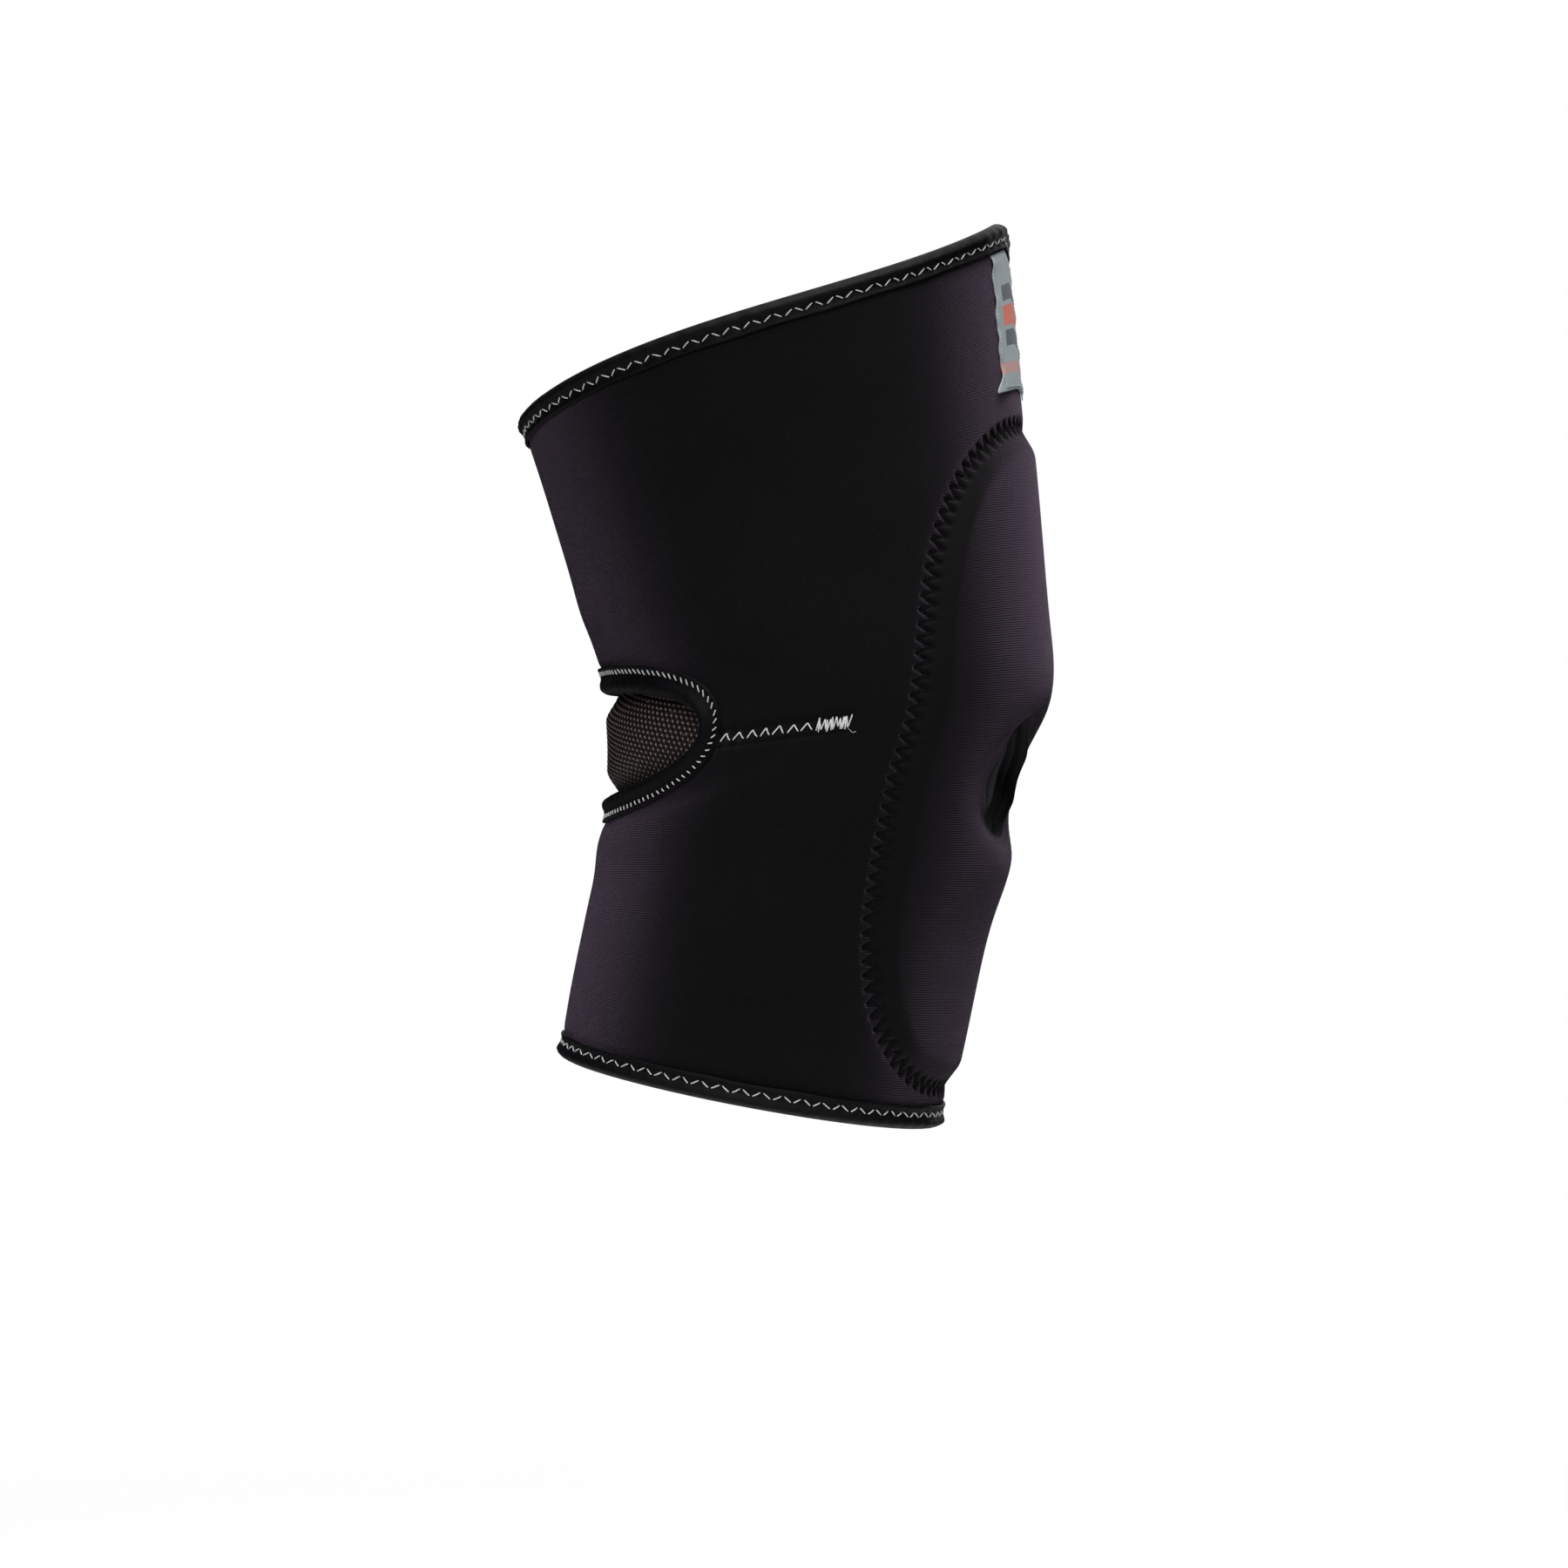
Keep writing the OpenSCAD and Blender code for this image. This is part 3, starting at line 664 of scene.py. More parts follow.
def satin_tape():
    """Folded nylon tape: a dense warp that runs along the edge, with a low gloss on its fold."""
    m = Shader("binding_tape", (0.003, 0.003, 0.0034), 0.5, 0.1)
    m.sheen(0.02, 0.25, (0.85, 0.8, 1.0))
    x, y, _ = m.split(m.coords("UV"))
    warp = m.wave(y, 0.00034)
    weft = m.wave(x, 0.00042)
    twill = m.wave(m.math("ADD", x, y), 0.0011)
    m.color(m.blend(m.noise(90, 4), (0.0018, 0.0017, 0.0022), (0.0042, 0.0039, 0.0052)))
    m.roughness(m.range(m.noise(260, 3), 0.44, 0.58))
    m.bump(m.math("ADD", warp, m.times(weft, 0.6)), 0.00004, 0.7)
    m.bump(twill, 0.00005, 0.35)
    m.bump(m.noise(420, 4), 0.00016, 0.3)
    return m.material


def thread_material(name, dark, light, gloss, sheen=0.25):
    """Twisted sewing thread, with painted shade in the twist's grooves. The UV map runs along a stitch and
    round it.
    """
    m = Shader(name, light, 0.55, gloss)
    m.sheen(sheen, 0.4, (0.8, 0.8, 0.8))
    x, y, _ = m.split(m.coords("UV"))
    twist = m.wave(m.math("ADD", m.times(x, 1 / 0.0011), y), 1)
    # Painted shade: the colour follows the twist and is darker in its grooves.
    m.color(m.blend(m.range(twist, 0, 1), dark, light))
    m.bump(twist, 0.00007, 0.8)
    m.bump(m.noise(6000, 2), 0.00004, 0.5)
    return m.material


def yarn():
    """Polyester yarn of the mesh, brown-black, with a painted highlight on each knot. Its UV map is 1 at each
    knot.
    """
    m = Shader("vent_mesh", (0.018, 0.014, 0.015), 0.5, 0.3)
    knot_highlight, _, _ = m.split(m.coords("UV"))
    tone = m.blend(m.noise(300, 3), (0.007, 0.004, 0.0036), (0.016, 0.009, 0.0085))
    # Painted highlight: each knot is blended towards a pale pinkish grey.
    m.color(m.blend(m.math("POWER", knot_highlight, 1.7), tone, (0.60, 0.49, 0.46)))
    m.bump(m.noise(5200, 2), 0.00006, 0.6)
    return m.material


LABEL_U, LABEL_V0, LABEL_V1 = 13.0, 0.818, 0.9755


def label_material():
    """Grey-blue damask, a coral band and plain navy and orange bars. Its UV map is metres across and up."""
    m = Shader("woven_label", (0.35, 0.40, 0.39), 0.62, 0.35)
    m.sheen(0.3, 0.35, (0.9, 0.95, 1.0))
    x, y, _ = m.split(m.coords("UV"))

    def bar(y0, y1, half=None):
        """1 between two heights, and within half of the middle."""
        inside = m.times(m.math("GREATER_THAN", y, y0), m.math("LESS_THAN", y, y1))
        if half is None:
            return inside
        return m.times(inside, m.math("LESS_THAN", m.math("ABSOLUTE", x), half))

    grey, pale = (0.29, 0.34, 0.355), (0.39, 0.45, 0.475)
    color = m.blend(m.noise(900, 3), grey, pale)
    stripes = m.math("GREATER_THAN", m.wave(x, 0.0017), -0.25)
    for share, paint in (
        (m.times(bar(0.0056, 0.0092), m.range(stripes, 0.25, 0.9)), (0.72, 0.24, 0.17)),
        (bar(0.0142, 0.0191, 0.0090), (0.024, 0.030, 0.058)),
        (bar(0.0205, 0.0268, 0.0098), (0.85, 0.12, 0.04)),
        (bar(0.0282, 0.0331, 0.0090), (0.024, 0.030, 0.058)),
    ):
        color = m.blend(share, color, paint)
    weave = m.wave(y, 0.00032)
    cross = m.wave(x, 0.0004)
    grain = m.times(weave, cross)
    m.color(m.blend(m.range(grain, 0.0, 0.35), color, m.blend(0.5, color, (0.12, 0.13, 0.14))))
    m.bump(grain, 0.00006, 0.9)
    m.bump(m.noise(700, 3), 0.00012, 0.4)
    return m.material


face_jersey = jersey("face_jersey", (0.0024, 0.0024, 0.0025), (0.0066, 0.0064, 0.0068), (0.92, 0.66, 1.0))
lining_jersey = jersey("lining_jersey", (0.0035, 0.0033, 0.0038), (0.009, 0.0085, 0.0098), (0.8, 0.7, 0.9),
                       wale=0.0006, course=0.0007)
foam_edge = foam()
tape = satin_tape()
# Each thread's first colour is the painted shade in its twist's grooves.
white_thread = thread_material("white_thread", (0.56, 0.56, 0.57), (0.92, 0.92, 0.93), 0.5, 0.4)
black_thread = thread_material("black_thread", (0.0025, 0.0025, 0.003), (0.008, 0.0075, 0.009), 0.12, 0.04)
label_yarn = thread_material("label_thread", (0.30, 0.33, 0.33), (0.62, 0.66, 0.66), 0.4)

# ---------------------------------------------------------------- the laminate


def laminate():
    face = Cloth(272, 144, cell_fineness, 1.0)
    top = fabric_relief(face.u, face.v)
    piece = face.shell("face_fabric", top, top - FABRIC_T)
    finish_piece(piece, face_jersey,
                 ["thigh_face_fabric", "knee_face_fabric", "shin_face_fabric"])
    core = Cloth(136, 72, plain_fineness, 1.0)
    outer, slow = core_relief(core.u, core.v)
    squeeze = slow - outer
    skin_side = slow - SLEEVE_T
    piece = core.shell("foam_core", outer - 0.55, skin_side + 0.5 + 0.25 * squeeze)
    finish_piece(piece, foam_edge, ["thigh_foam_core", "knee_foam_core", "shin_foam_core"])
    piece = core.shell("lining", skin_side + FABRIC_T + 0.25 * squeeze, skin_side + 0.25 * squeeze)
    finish_piece(piece, lining_jersey, ["thigh_lining", "knee_lining", "shin_lining"])


laminate()

# ---------------------------------------------------------------- tubes, ribbons and loops


def outward_facing(points, polygons):
    """The polygons, turned over if they enclose a negative volume."""
    volume = 0.0
    for size in {len(p) for p in polygons}:
        f = points[np.array([p for p in polygons if len(p) == size])]
        for k in range(1, size - 1):
            volume += np.einsum("ij,ij->", f[:, 0], np.cross(f[:, k], f[:, k + 1]))
    return polygons if volume > 0 else [p[::-1] for p in polygons]


def swept_loop(name, points, along, around):
    """A ring of closed sections: points is (sections, places round, 3). along and around are UVs in mm."""
    n, m = points.shape[:2]
    i, j = indices(n, m)
    quads = np.stack((i * m + j, (i + 1) % n * m + j, (i + 1) % n * m + (j + 1) % m, i * m + (j + 1) % m), 1)
    flat = points.reshape(-1, 3)
    polygons = outward_facing(flat, list(quads))
    turned = polygons[0][0] != quads[0][0]
    along = np.append(along, along[-1] + along[1])
    around = np.append(around, around[-1] + around[1])
    uv = np.stack((np.stack((along[i], along[i + 1], along[i + 1], along[i]), 1),
                   np.stack((around[j], around[j], around[j + 1], around[j + 1]), 1)), -1)
    uv = uv[:, ::-1] if turned else uv
    return build(name, flat, polygons, uv.reshape(-1, 2) * MM)


def strands(name, paths, ups, radius, sides=8):
    """Separate lengths of thread: paths and ups are (strands, places, 3). radius is one or one for each."""
    n, k = paths.shape[:2]
    ahead = unit(np.gradient(paths, axis=1))
    side = unit(np.cross(ahead, ups))
    up = np.cross(side, ahead)
    angle = TAU * np.arange(sides) / sides
    ring = side[:, :, None] * np.cos(angle)[:, None] + up[:, :, None] * np.sin(angle)[:, None]
    points = (paths[:, :, None] + ring * np.reshape(radius, (-1, 1, 1, 1))).reshape(-1, 3)
    a, b, c = indices(n, k - 1, sides)
    d = (c + 1) % sides

    def corner(place, turn):
        return (a * k + place) * sides + turn

    quads = np.stack((corner(b, c), corner(b, d), corner(b + 1, d), corner(b + 1, c)), 1)
    steps = np.linalg.norm(np.diff(paths, axis=1), axis=2)
    reach = np.concatenate((np.zeros((n, 1)), np.cumsum(steps, 1)), 1) * MM
    s0, s1 = reach[a, b], reach[a, b + 1]
    along, around = np.stack((s0, s0, s1, s1), 1), np.stack((c, c + 1, c + 1, c), 1) / sides
    uv = np.stack((along, around), -1).reshape(-1, 2)
    caps = [(np.arange(sides) + (s * k + e) * sides)[:: 1 if e else -1] for s in range(n) for e in (0, k - 1)]
    uv = np.concatenate((uv, np.zeros((len(caps) * sides, 2))))
    polygons = list(quads) + caps
    probe = np.cross(points[quads[0][1]] - points[quads[0][0]], points[quads[0][2]] - points[quads[0][0]])
    if probe @ (points[quads[0][0]] - paths[0, 0]) < 0:
        polygons = [p[::-1] for p in polygons]
    return build(name, points, polygons, uv)


STITCH_PLACES = np.linspace(0, 1, 11)
THREAD_R = 0.21


def stitch_lift(plunge, lift):
    """Height of a stitch over the cloth along its length: its ends dive into the needle holes."""
    return -plunge + (plunge + lift) * (1 - np.abs(2 * STITCH_PLACES - 1) ** 5)


def legs_over(u, v, surface, plunge, lift):
    """Stitches between successive places (u, v), lying on a surface of the given height."""
    lu = mix(u[:-1, None], u[1:, None], STITCH_PLACES)
    lv = mix(v[:-1, None], v[1:, None], STITCH_PLACES)
    h = surface(lu, lv) + stitch_lift(plunge, lift)
    return at(lu, lv, h), outward(lu, lv)


def jitter(n, amount):
    return rng.normal(0, amount, n)


# ---------------------------------------------------------------- bindings

TAPE_W, VENT_TAPE_W, TAPE_T = 6.3, 7.3, 0.95
FOLD_AT = 1.5
TOP_ZIGZAGS, BOTTOM_ZIGZAGS = 76, 60
ZIGZAG_D = (2.6, 4.7)


def tape_section(wide, low):
    """The folded tape's closed outline: [distance in from the edge, height]."""
    r = TAPE_T / 2
    reach = np.linspace(wide - r, FOLD_AT, 13)
    mid, half = low / 2, -low / 2
    fold = np.radians(np.linspace(0, 180, 15))[1:-1]
    tip = np.radians(np.linspace(-90, 90, 6))
    outer_top = np.stack((reach, np.full(13, TAPE_T + 0.05)), 1)
    outer_fold = np.stack((FOLD_AT - (FOLD_AT + 0.1 + TAPE_T) * np.sin(fold),
                           mid + (half + 0.05 + TAPE_T) * np.cos(fold)), 1)
    outer_low = np.stack((reach[::-1], np.full(13, low - 0.05 - TAPE_T)), 1)
    low_tip = np.stack((wide - r + r * np.cos(tip), low - 0.05 - r + r * np.sin(tip)), 1)[1:-1]
    inner_low = np.stack((reach, np.full(13, low - 0.05)), 1)
    back = fold[::-1]
    inner_fold = np.stack((FOLD_AT - (FOLD_AT + 0.1) * np.sin(back), mid + (half + 0.05) * np.cos(back)), 1)
    inner_top = np.stack((reach[::-1], np.full(13, 0.05)), 1)
    top_tip = np.stack((wide - r + r * np.cos(tip), 0.05 + r + r * np.sin(tip)), 1)[1:-1]
    return np.concatenate((outer_top, outer_fold, outer_low, low_tip,
                           inner_low, inner_fold, inner_top, top_tip))


def tape_shape(d, turns, seed):
    """How far the tape stands off its plain section: its roll, the dip under the zigzag, and puckers."""
    roll = 0.38 * bell(d - 0.9, 1.2) - 0.45 * bell(d - np.mean(ZIGZAG_D), 1.25) + 0.14 * bell(d - 5.8, 0.45)
    phase = turns % 1
    holes = sum(deep * bell(np.hypot((phase - p) * 5.9, d - z), 0.85)
                for p, z, deep in ((0, ZIGZAG_D[0], 0.7), (0.5, ZIGZAG_D[1], 1.5), (1, ZIGZAG_D[0], 0.7)))
    swell = 0.14 * np.cos(TAU * turns) * bell(d - 1.0, 2.2)
    uneven = 0.13 * np.sin(turns * 0.83 + seed) + 0.10 * np.sin(turns * 2.31 + 2 * seed)
    return roll - 0.34 * holes + swell + uneven * bell(d - 2, 4)


def edge_tape(name, top, zigzags, seed, nodes, body):
    """The tape folded over the top or bottom edge of the sleeve."""
    count = zigzags * 9
    section = tape_section(TAPE_W, -SLEEVE_T)
    share = np.arange(count) / count
    u = (share * 360)[:, None] - 180
    d, h = section[:, 0][None], section[:, 1][None]
    turns = share[:, None] * zigzags
    wave = 0.16 * np.sin(turns * 1.37 + seed) * smooth(d, 4, 6)
    shape = tape_shape(d + wave, turns, seed)
    fade = smooth(h, -3.5, 0.5) * (h > 0.3) + (h <= 0.3) * smooth(h, -2.5, 0.3) * (d < FOLD_AT)
    lift = np.where(h > 0.3, shape, shape * fade)
    squeeze = -0.34 * smooth(d, 2.5, 4)
    v = (d + wave) / span_at(u)
    points = at(u, 1 - v if top else v, h + lift + squeeze * (h > -2))
    around = np.concatenate(([0], np.cumsum(np.hypot(*np.diff(section, axis=0).T))))
    piece = swept_loop(name, points, share * 440, around)
    finish_piece(piece, tape, nodes, body)


def edge_thread(name, top, zigzags, seed, nodes, body):
    """White zigzag over the tape's inner half."""
    k = np.arange(2 * zigzags + 1)
    d = np.where(k % 2 == 0, *ZIGZAG_D) + np.append(jitter(len(k) - 1, 0.10), 0)
    d[-1] = d[0]
    turns = k / 2 + np.append(jitter(len(k) - 1, 0.018), 0)
    turns[-1] = turns[0] + zigzags
    lt = mix(turns[:-1, None], turns[1:, None], STITCH_PLACES)
    ld = mix(d[:-1, None], d[1:, None], STITCH_PLACES)
    u = lt / zigzags * 360 - 180
    v = ld / span_at(u)
    sunk = 0.45 * smooth(ld, ZIGZAG_D[1] - 0.9, ZIGZAG_D[1])
    h = TAPE_T + 0.05 - 0.34 + tape_shape(ld, lt, seed) + stitch_lift(0.4, 0.16) - sunk
    v = 1 - v if top else v
    piece = strands(name, at(u, v, h), outward(u, v), THREAD_R)
    finish_piece(piece, white_thread, nodes, body)


edge_tape("top_tape", True, TOP_ZIGZAGS, 0.4, ["top_binding"], "thigh")
edge_tape("bottom_tape", False, BOTTOM_ZIGZAGS, 2.1, ["bottom_binding"], "shin")
edge_thread("top_tape_thread", True, TOP_ZIGZAGS, 0.4, ["top_binding_thread"], "thigh")
edge_thread("bottom_tape_thread", False, BOTTOM_ZIGZAGS, 2.1, ["bottom_binding_thread"], "shin")

VENT_STITCH_D = (4.9, 6.3)
VENT_PITCH = 2.35
MESH_ROOM = 0.9
vent_line = Line(vent_outline, 0, 360, 3600)


def vent_place(share, d):
    """u and v at a share of the way round the vent's edge, d mm out from it."""
    s = (share % 1) * vent_line.length
    u, v = (np.interp(s, vent_line.s, x) for x in (vent_line.u, vent_line.v))
    u0, v0 = (np.interp(s - 0.4, vent_line.s, x, period=vent_line.length) for x in (vent_line.u, vent_line.v))
    u1, v1 = (np.interp(s + 0.4, vent_line.s, x, period=vent_line.length) for x in (vent_line.u, vent_line.v))
    along_u, along_v = (u1 - u0) * MM_PER_DEG, (v1 - v0) * span_at(180)
    size = np.hypot(along_u, along_v)
    away_u, away_v = along_v / size, -along_u / size
    outside = np.sign(away_u * (u - 180) * MM_PER_DEG + away_v * (v - VENT_V) * span_at(180))
    return u + outside * away_u * d * DEG_PER_MM, v + outside * away_v * d / span_at(180)


def vent_pacing():
    """Share of the way round for each stitch, evenly spaced along the line of stitches itself."""
    share = np.arange(3601) / 3600
    points = skin(*vent_place(share, np.full(3601, np.mean(VENT_STITCH_D))))
    s = np.concatenate(([0], np.cumsum(np.linalg.norm(np.diff(points, axis=0), axis=1))))
    count = round(s[-1] / VENT_PITCH)
    return count, share, s / s[-1]


VENT_STITCHES, PACED_SHARE, PACED_LENGTH = vent_pacing()


def vent_roll(d, share):
    """The vent's tape is a rounder roll; small puckers follow its stitches."""
    turns = np.interp(share, PACED_SHARE, PACED_LENGTH) * VENT_STITCHES
    roll = 0.5 * bell(d - 1.5, 1.8) - 0.34 * bell(d - np.mean(VENT_STITCH_D), 0.9) \
        + 0.16 * bell(d - 7.0, 0.45)
    uneven = 0.14 * np.sin(TAU * share * 9 + 1) + 0.1 * np.sin(TAU * share * 23)
    pucker = -0.14 * bell(d - np.mean(VENT_STITCH_D), 1.3) * (0.5 + 0.5 * np.cos(TAU * turns))
    ribs = 0.06 * np.cos(TAU * turns / 2) * bell(d - 1.5, 2)
    return roll + pucker + ribs + uneven * bell(d - 1.5, 2.5)


def vent_tape():
    count = 900
    section = tape_section(VENT_TAPE_W, -SLEEVE_T - MESH_ROOM)
    share = np.arange(count)[:, None] / count
    d, h = section[:, 0][None], section[:, 1][None]
    u, v = vent_place(share, d)
    shape = vent_roll(d, share)
    lift = np.where(h > 0.3, shape, shape * smooth(h, -2.8, 0.3) * (d < FOLD_AT))
    squeeze = -0.42 * smooth(d, 2.5, 4.2)
    points = at(u, v, h + lift + squeeze * (h > -2.2) + vent_pull(d))
    around = np.concatenate(([0], np.cumsum(np.hypot(*np.diff(section, axis=0).T))))
    piece = swept_loop("vent_tape", points, share[:, 0] * vent_line.length, around)
    finish_piece(piece, tape, ["vent_binding"])


def vent_thread():
    k = np.arange(VENT_STITCHES)
    start = (k + 0.15 + jitter(VENT_STITCHES, 0.05)) / VENT_STITCHES
    end = (k + 0.65 + jitter(VENT_STITCHES, 0.05)) / VENT_STITCHES
    share = np.interp(mix(start[:, None], end[:, None], STITCH_PLACES), PACED_LENGTH, PACED_SHARE)
    d = mix(VENT_STITCH_D[0], VENT_STITCH_D[1], STITCH_PLACES)[None] + jitter(VENT_STITCHES, 0.08)[:, None]
    u, v = vent_place(share, d)
    h = TAPE_T + 0.05 - 0.42 + vent_roll(d, share) + vent_pull(d) + stitch_lift(0.4, 0.16)
    piece = strands("vent_tape_thread", at(u, v, h), outward(u, v), THREAD_R)
    finish_piece(piece, white_thread, ["vent_binding_thread"])


vent_tape()
vent_thread()

# ---------------------------------------------------------------- mesh across the vent

MESH_PITCH = 1.62
MESH_STRETCH = 1.28
MESH_TILT = math.radians(-13)
MESH_HEM = 5.0
MESH_BELLY = 5.0
MESH_YARN = 0.2
HOLE_SIZE = (0.36, 0.27)
GROUND_SHARE = 0.2
HOLE_SLANT = math.radians(28)


def tilted(x, y):
    """The net's rows are drawn out and lie aslant."""
    x = x * MESH_STRETCH
    c, s = math.cos(MESH_TILT), math.sin(MESH_TILT)
    return x * c - y * s, x * s + y * c


def vent_mesh():
    """A warp-knitted net: each cell is a hexagon with a slanted oval hole, and cells share their corners."""
    rows = 2 * math.ceil((VENT_HALF_V * span_at(180) + MESH_HEM) / (MESH_PITCH * 0.866)) + 3
    rows += 2 * round(30 / MESH_PITCH)
    cols = 2 * math.ceil((VENT_HALF_U * MM_PER_DEG + MESH_HEM) / MESH_PITCH) + 3
    i, j = indices(cols, rows)
    i, j = i - cols // 2, j - rows // 2
    cx, cy = (i + (j % 2) / 2) * MESH_PITCH, j * MESH_PITCH * 0.866
    tx, ty = tilted(cx, cy)
    reach = (np.abs(tx / (VENT_HALF_U * MM_PER_DEG + MESH_HEM)) ** VENT_N
             + np.abs(ty / (VENT_HALF_V * span_at(180) + MESH_HEM)) ** VENT_N)
    cx, cy = cx[reach < 1], cy[reach < 1]
    turn = np.radians(30 * np.arange(12) + 30)
    size = np.where(np.arange(12) % 2 == 0, MESH_PITCH / math.sqrt(3), MESH_PITCH / 2)
    ox, oy = cx[:, None] + size * np.cos(turn), cy[:, None] + size * np.sin(turn)
    ovals = []
    for share in (1, GROUND_SHARE):
        hx, hy = (share * half * MESH_PITCH * f(turn - HOLE_SLANT)
                  for half, f in zip(HOLE_SIZE, (np.cos, np.sin)))
        ovals.append((cx[:, None] + hx * math.cos(HOLE_SLANT) - hy * math.sin(HOLE_SLANT),
                      cy[:, None] + hx * math.sin(HOLE_SLANT) + hy * math.cos(HOLE_SLANT)))
    key = np.round(np.stack((ox.ravel(), oy.ravel()), 1) * 200).astype(int)
    _, first, shared = np.unique(key, axis=0, return_index=True, return_inverse=True)
    shared = shared.reshape(ox.shape)
    n, rims = len(first), np.arange(ox.size).reshape(ox.shape)
    x = np.concatenate([ox.ravel()[first]] * 2 + [h[0].ravel() for h in ovals])
    y = np.concatenate([oy.ravel()[first]] * 2 + [h[1].ravel() for h in ovals])
    # Knots stand a little higher and carry the yarn's painted highlight through the UV map.
    knots_lifted_and_highlighted = np.zeros(n)
    knots_lifted_and_highlighted[shared[:, ::4]] = 1
    thick = np.concatenate((MESH_YARN + 0.16 * knots_lifted_and_highlighted, np.full(n, -MESH_YARN), np.full(ox.size, 0.06),
                            np.full(ox.size, -0.14)))
    knots_lifted_and_highlighted = np.concatenate((knots_lifted_and_highlighted, np.zeros(n + 2 * ox.size)))
    x, y = tilted(x, y)
    u, v = 180 - x * DEG_PER_MM, VENT_V + y / span_at(180)
    belly = MESH_BELLY * smooth(1.02 - vent_share(np.where(u > 180, 360 - u, u), v), 0, 0.55)
    points = at(u, v, -SLEEVE_T - 0.55 - VENT_PULL + belly + thick)
    a, b = shared, np.roll(shared, -1, 1)
    c, d = np.roll(rims, -1, 1) + 2 * n, rims + 2 * n
    e, f = c + ox.size, d + ox.size
    top = np.concatenate([np.stack(q, -1).reshape(-1, 4) for q in ((a, b, c, d), (d, c, e, f))])
    low = np.stack((b + n, a + n, f, e), -1).reshape(-1, 4)
    edges = {(int(p), int(q)) for p, q in zip(a.ravel(), b.ravel())}
    rim = [np.array([q, p, p + n, q + n]) for p, q in edges if (q, p) not in edges]
    polygons = outward_facing(points, list(top) + list(low) + rim)
    ids = np.concatenate(polygons)
    piece = build("vent_mesh_net", points, polygons, np.stack((knots_lifted_and_highlighted[ids], np.zeros(len(ids))), 1))
    finish_piece(piece, yarn(), ["vent_mesh"])


vent_mesh()

# ---------------------------------------------------------------- pad


def anterior_pad():
    """The foam layer behind the front: thin where the zigzag pins it, and cut out at the kneecap."""
    around, across = 480, 36
    t = (np.arange(around) / around * 360)[:, None]
    r = np.linspace(0, 1, across + 1)[None]
    (hu, hv), (pu, pv) = hole_outline(t), pad_outline(t, 2.6)
    u, v = mix(hu, pu, r ** 0.9), mix(hv, pv, r ** 0.9)
    slow, _, d = soft_shape(u, v)
    lip = slow - bulge(u, v)[0]
    folds = creases(u, v)
    pinned = bell(d, 2.4)
    top = slow - SLEEVE_T - 0.06 + folds - 0.05 * pinned
    thin = 0.55 + 0.3 * smooth(d, 1, 3)
    crown = 0.45 * smooth(-d, 1, 12)
    low = np.minimum(lip - SLEEVE_T - 0.35 - crown + folds, top - thin)
    edge = smooth(d, 1.6, 2.6) * 0.18
    low = low + edge
    n = u.size
    outer, inner = at(u, v, top - edge).reshape(-1, 3), at(u, v, low).reshape(-1, 3)
    i, j = indices(around, across)
    w, k = across + 1, (i + 1) % around
    sheet = np.stack((i * w + j, i * w + j + 1, k * w + j + 1, k * w + j), 1)
    ring = np.arange(around)
    after = (ring + 1) % around
    hole_wall = np.stack((ring * w, after * w, after * w + n, ring * w + n), 1)
    here, there = ring * w + across, after * w + across
    rim_wall = np.stack((there, here, here + n, there + n), 1)
    points = np.concatenate((outer, inner))
    polygons = [*sheet, *(sheet[:, ::-1] + n), *hole_wall, *rim_wall]
    piece = build("anterior_pad", points, outward_facing(points, polygons))
    finish_piece(piece, pad_material(),
                 ["anterior_pad_upper", "anterior_pad_knee", "anterior_pad_lower"])


def pad_material():
    """Brushed loop cloth over foam."""
    m = Shader("pad_foam", (0.006, 0.0058, 0.0064), 0.9, 0.1)
    m.sheen(0.15, 0.5, (0.6, 0.56, 0.66))
    m.color(m.blend(m.noise(700, 4), (0.004, 0.0038, 0.0043), (0.011, 0.0104, 0.0118)))
    m.bump(m.noise(1500, 4), 0.00025, 0.7)
    m.bump(m.cells(1100), 0.00015, 0.5)
    return m.material


anterior_pad()


def locate(points, u, v):
    """u and v of points near the surface, from a first guess."""
    for _ in range(5):
        base = skin(u, v)
        du, dv = (skin(u + 0.5, v) - skin(u - 0.5, v)), (skin(u, v + 0.002) - skin(u, v - 0.002)) / 0.004
        off = points - base
        a, b, c = (du * du).sum(-1), (du * dv).sum(-1), (dv * dv).sum(-1)
        p, q = (off * du).sum(-1), (off * dv).sum(-1)
        det = a * c - b * b
        u, v = u + (c * p - b * q) / det, v + (a * q - b * p) / det
    return u, v


def pad_thread():
    """Black zigzag that pins the pad, sunk between the pillows of cloth."""
    k = np.arange(2 * PAD_STITCHES + 1)
    d = np.where(k % 2 == 0, -PAD_ZIGZAG / 2, PAD_ZIGZAG / 2)
    s = k * PAD_PITCH / 2
    ls = mix(s[:-1, None], s[1:, None], STITCH_PLACES)
    ld = mix(d[:-1, None], d[1:, None], STITCH_PLACES) * PAD_SIDE
    places = pad_line.place(ls, ld, 0)
    guess = (ls % pad_line.length) / pad_line.length * pad_line.count
    near = np.minimum(guess.astype(int), pad_line.count - 1)
    u, v = locate(places, pad_line.u[near], pad_line.v[near])
    h = fabric_relief(u, v) + stitch_lift(0.3, 0.14)
    piece = strands("pad_thread", at(u, v, h), outward(u, v), 0.2)
    finish_piece(piece, black_thread,
                 ["pad_thread_upper", "pad_thread_knee", "pad_thread_lower"])


pad_thread()

# ---------------------------------------------------------------- darts, label and back seam

DART_HEIGHT = 2.8
TACK_HEIGHT = 3.9
TACK_LEGS = 23


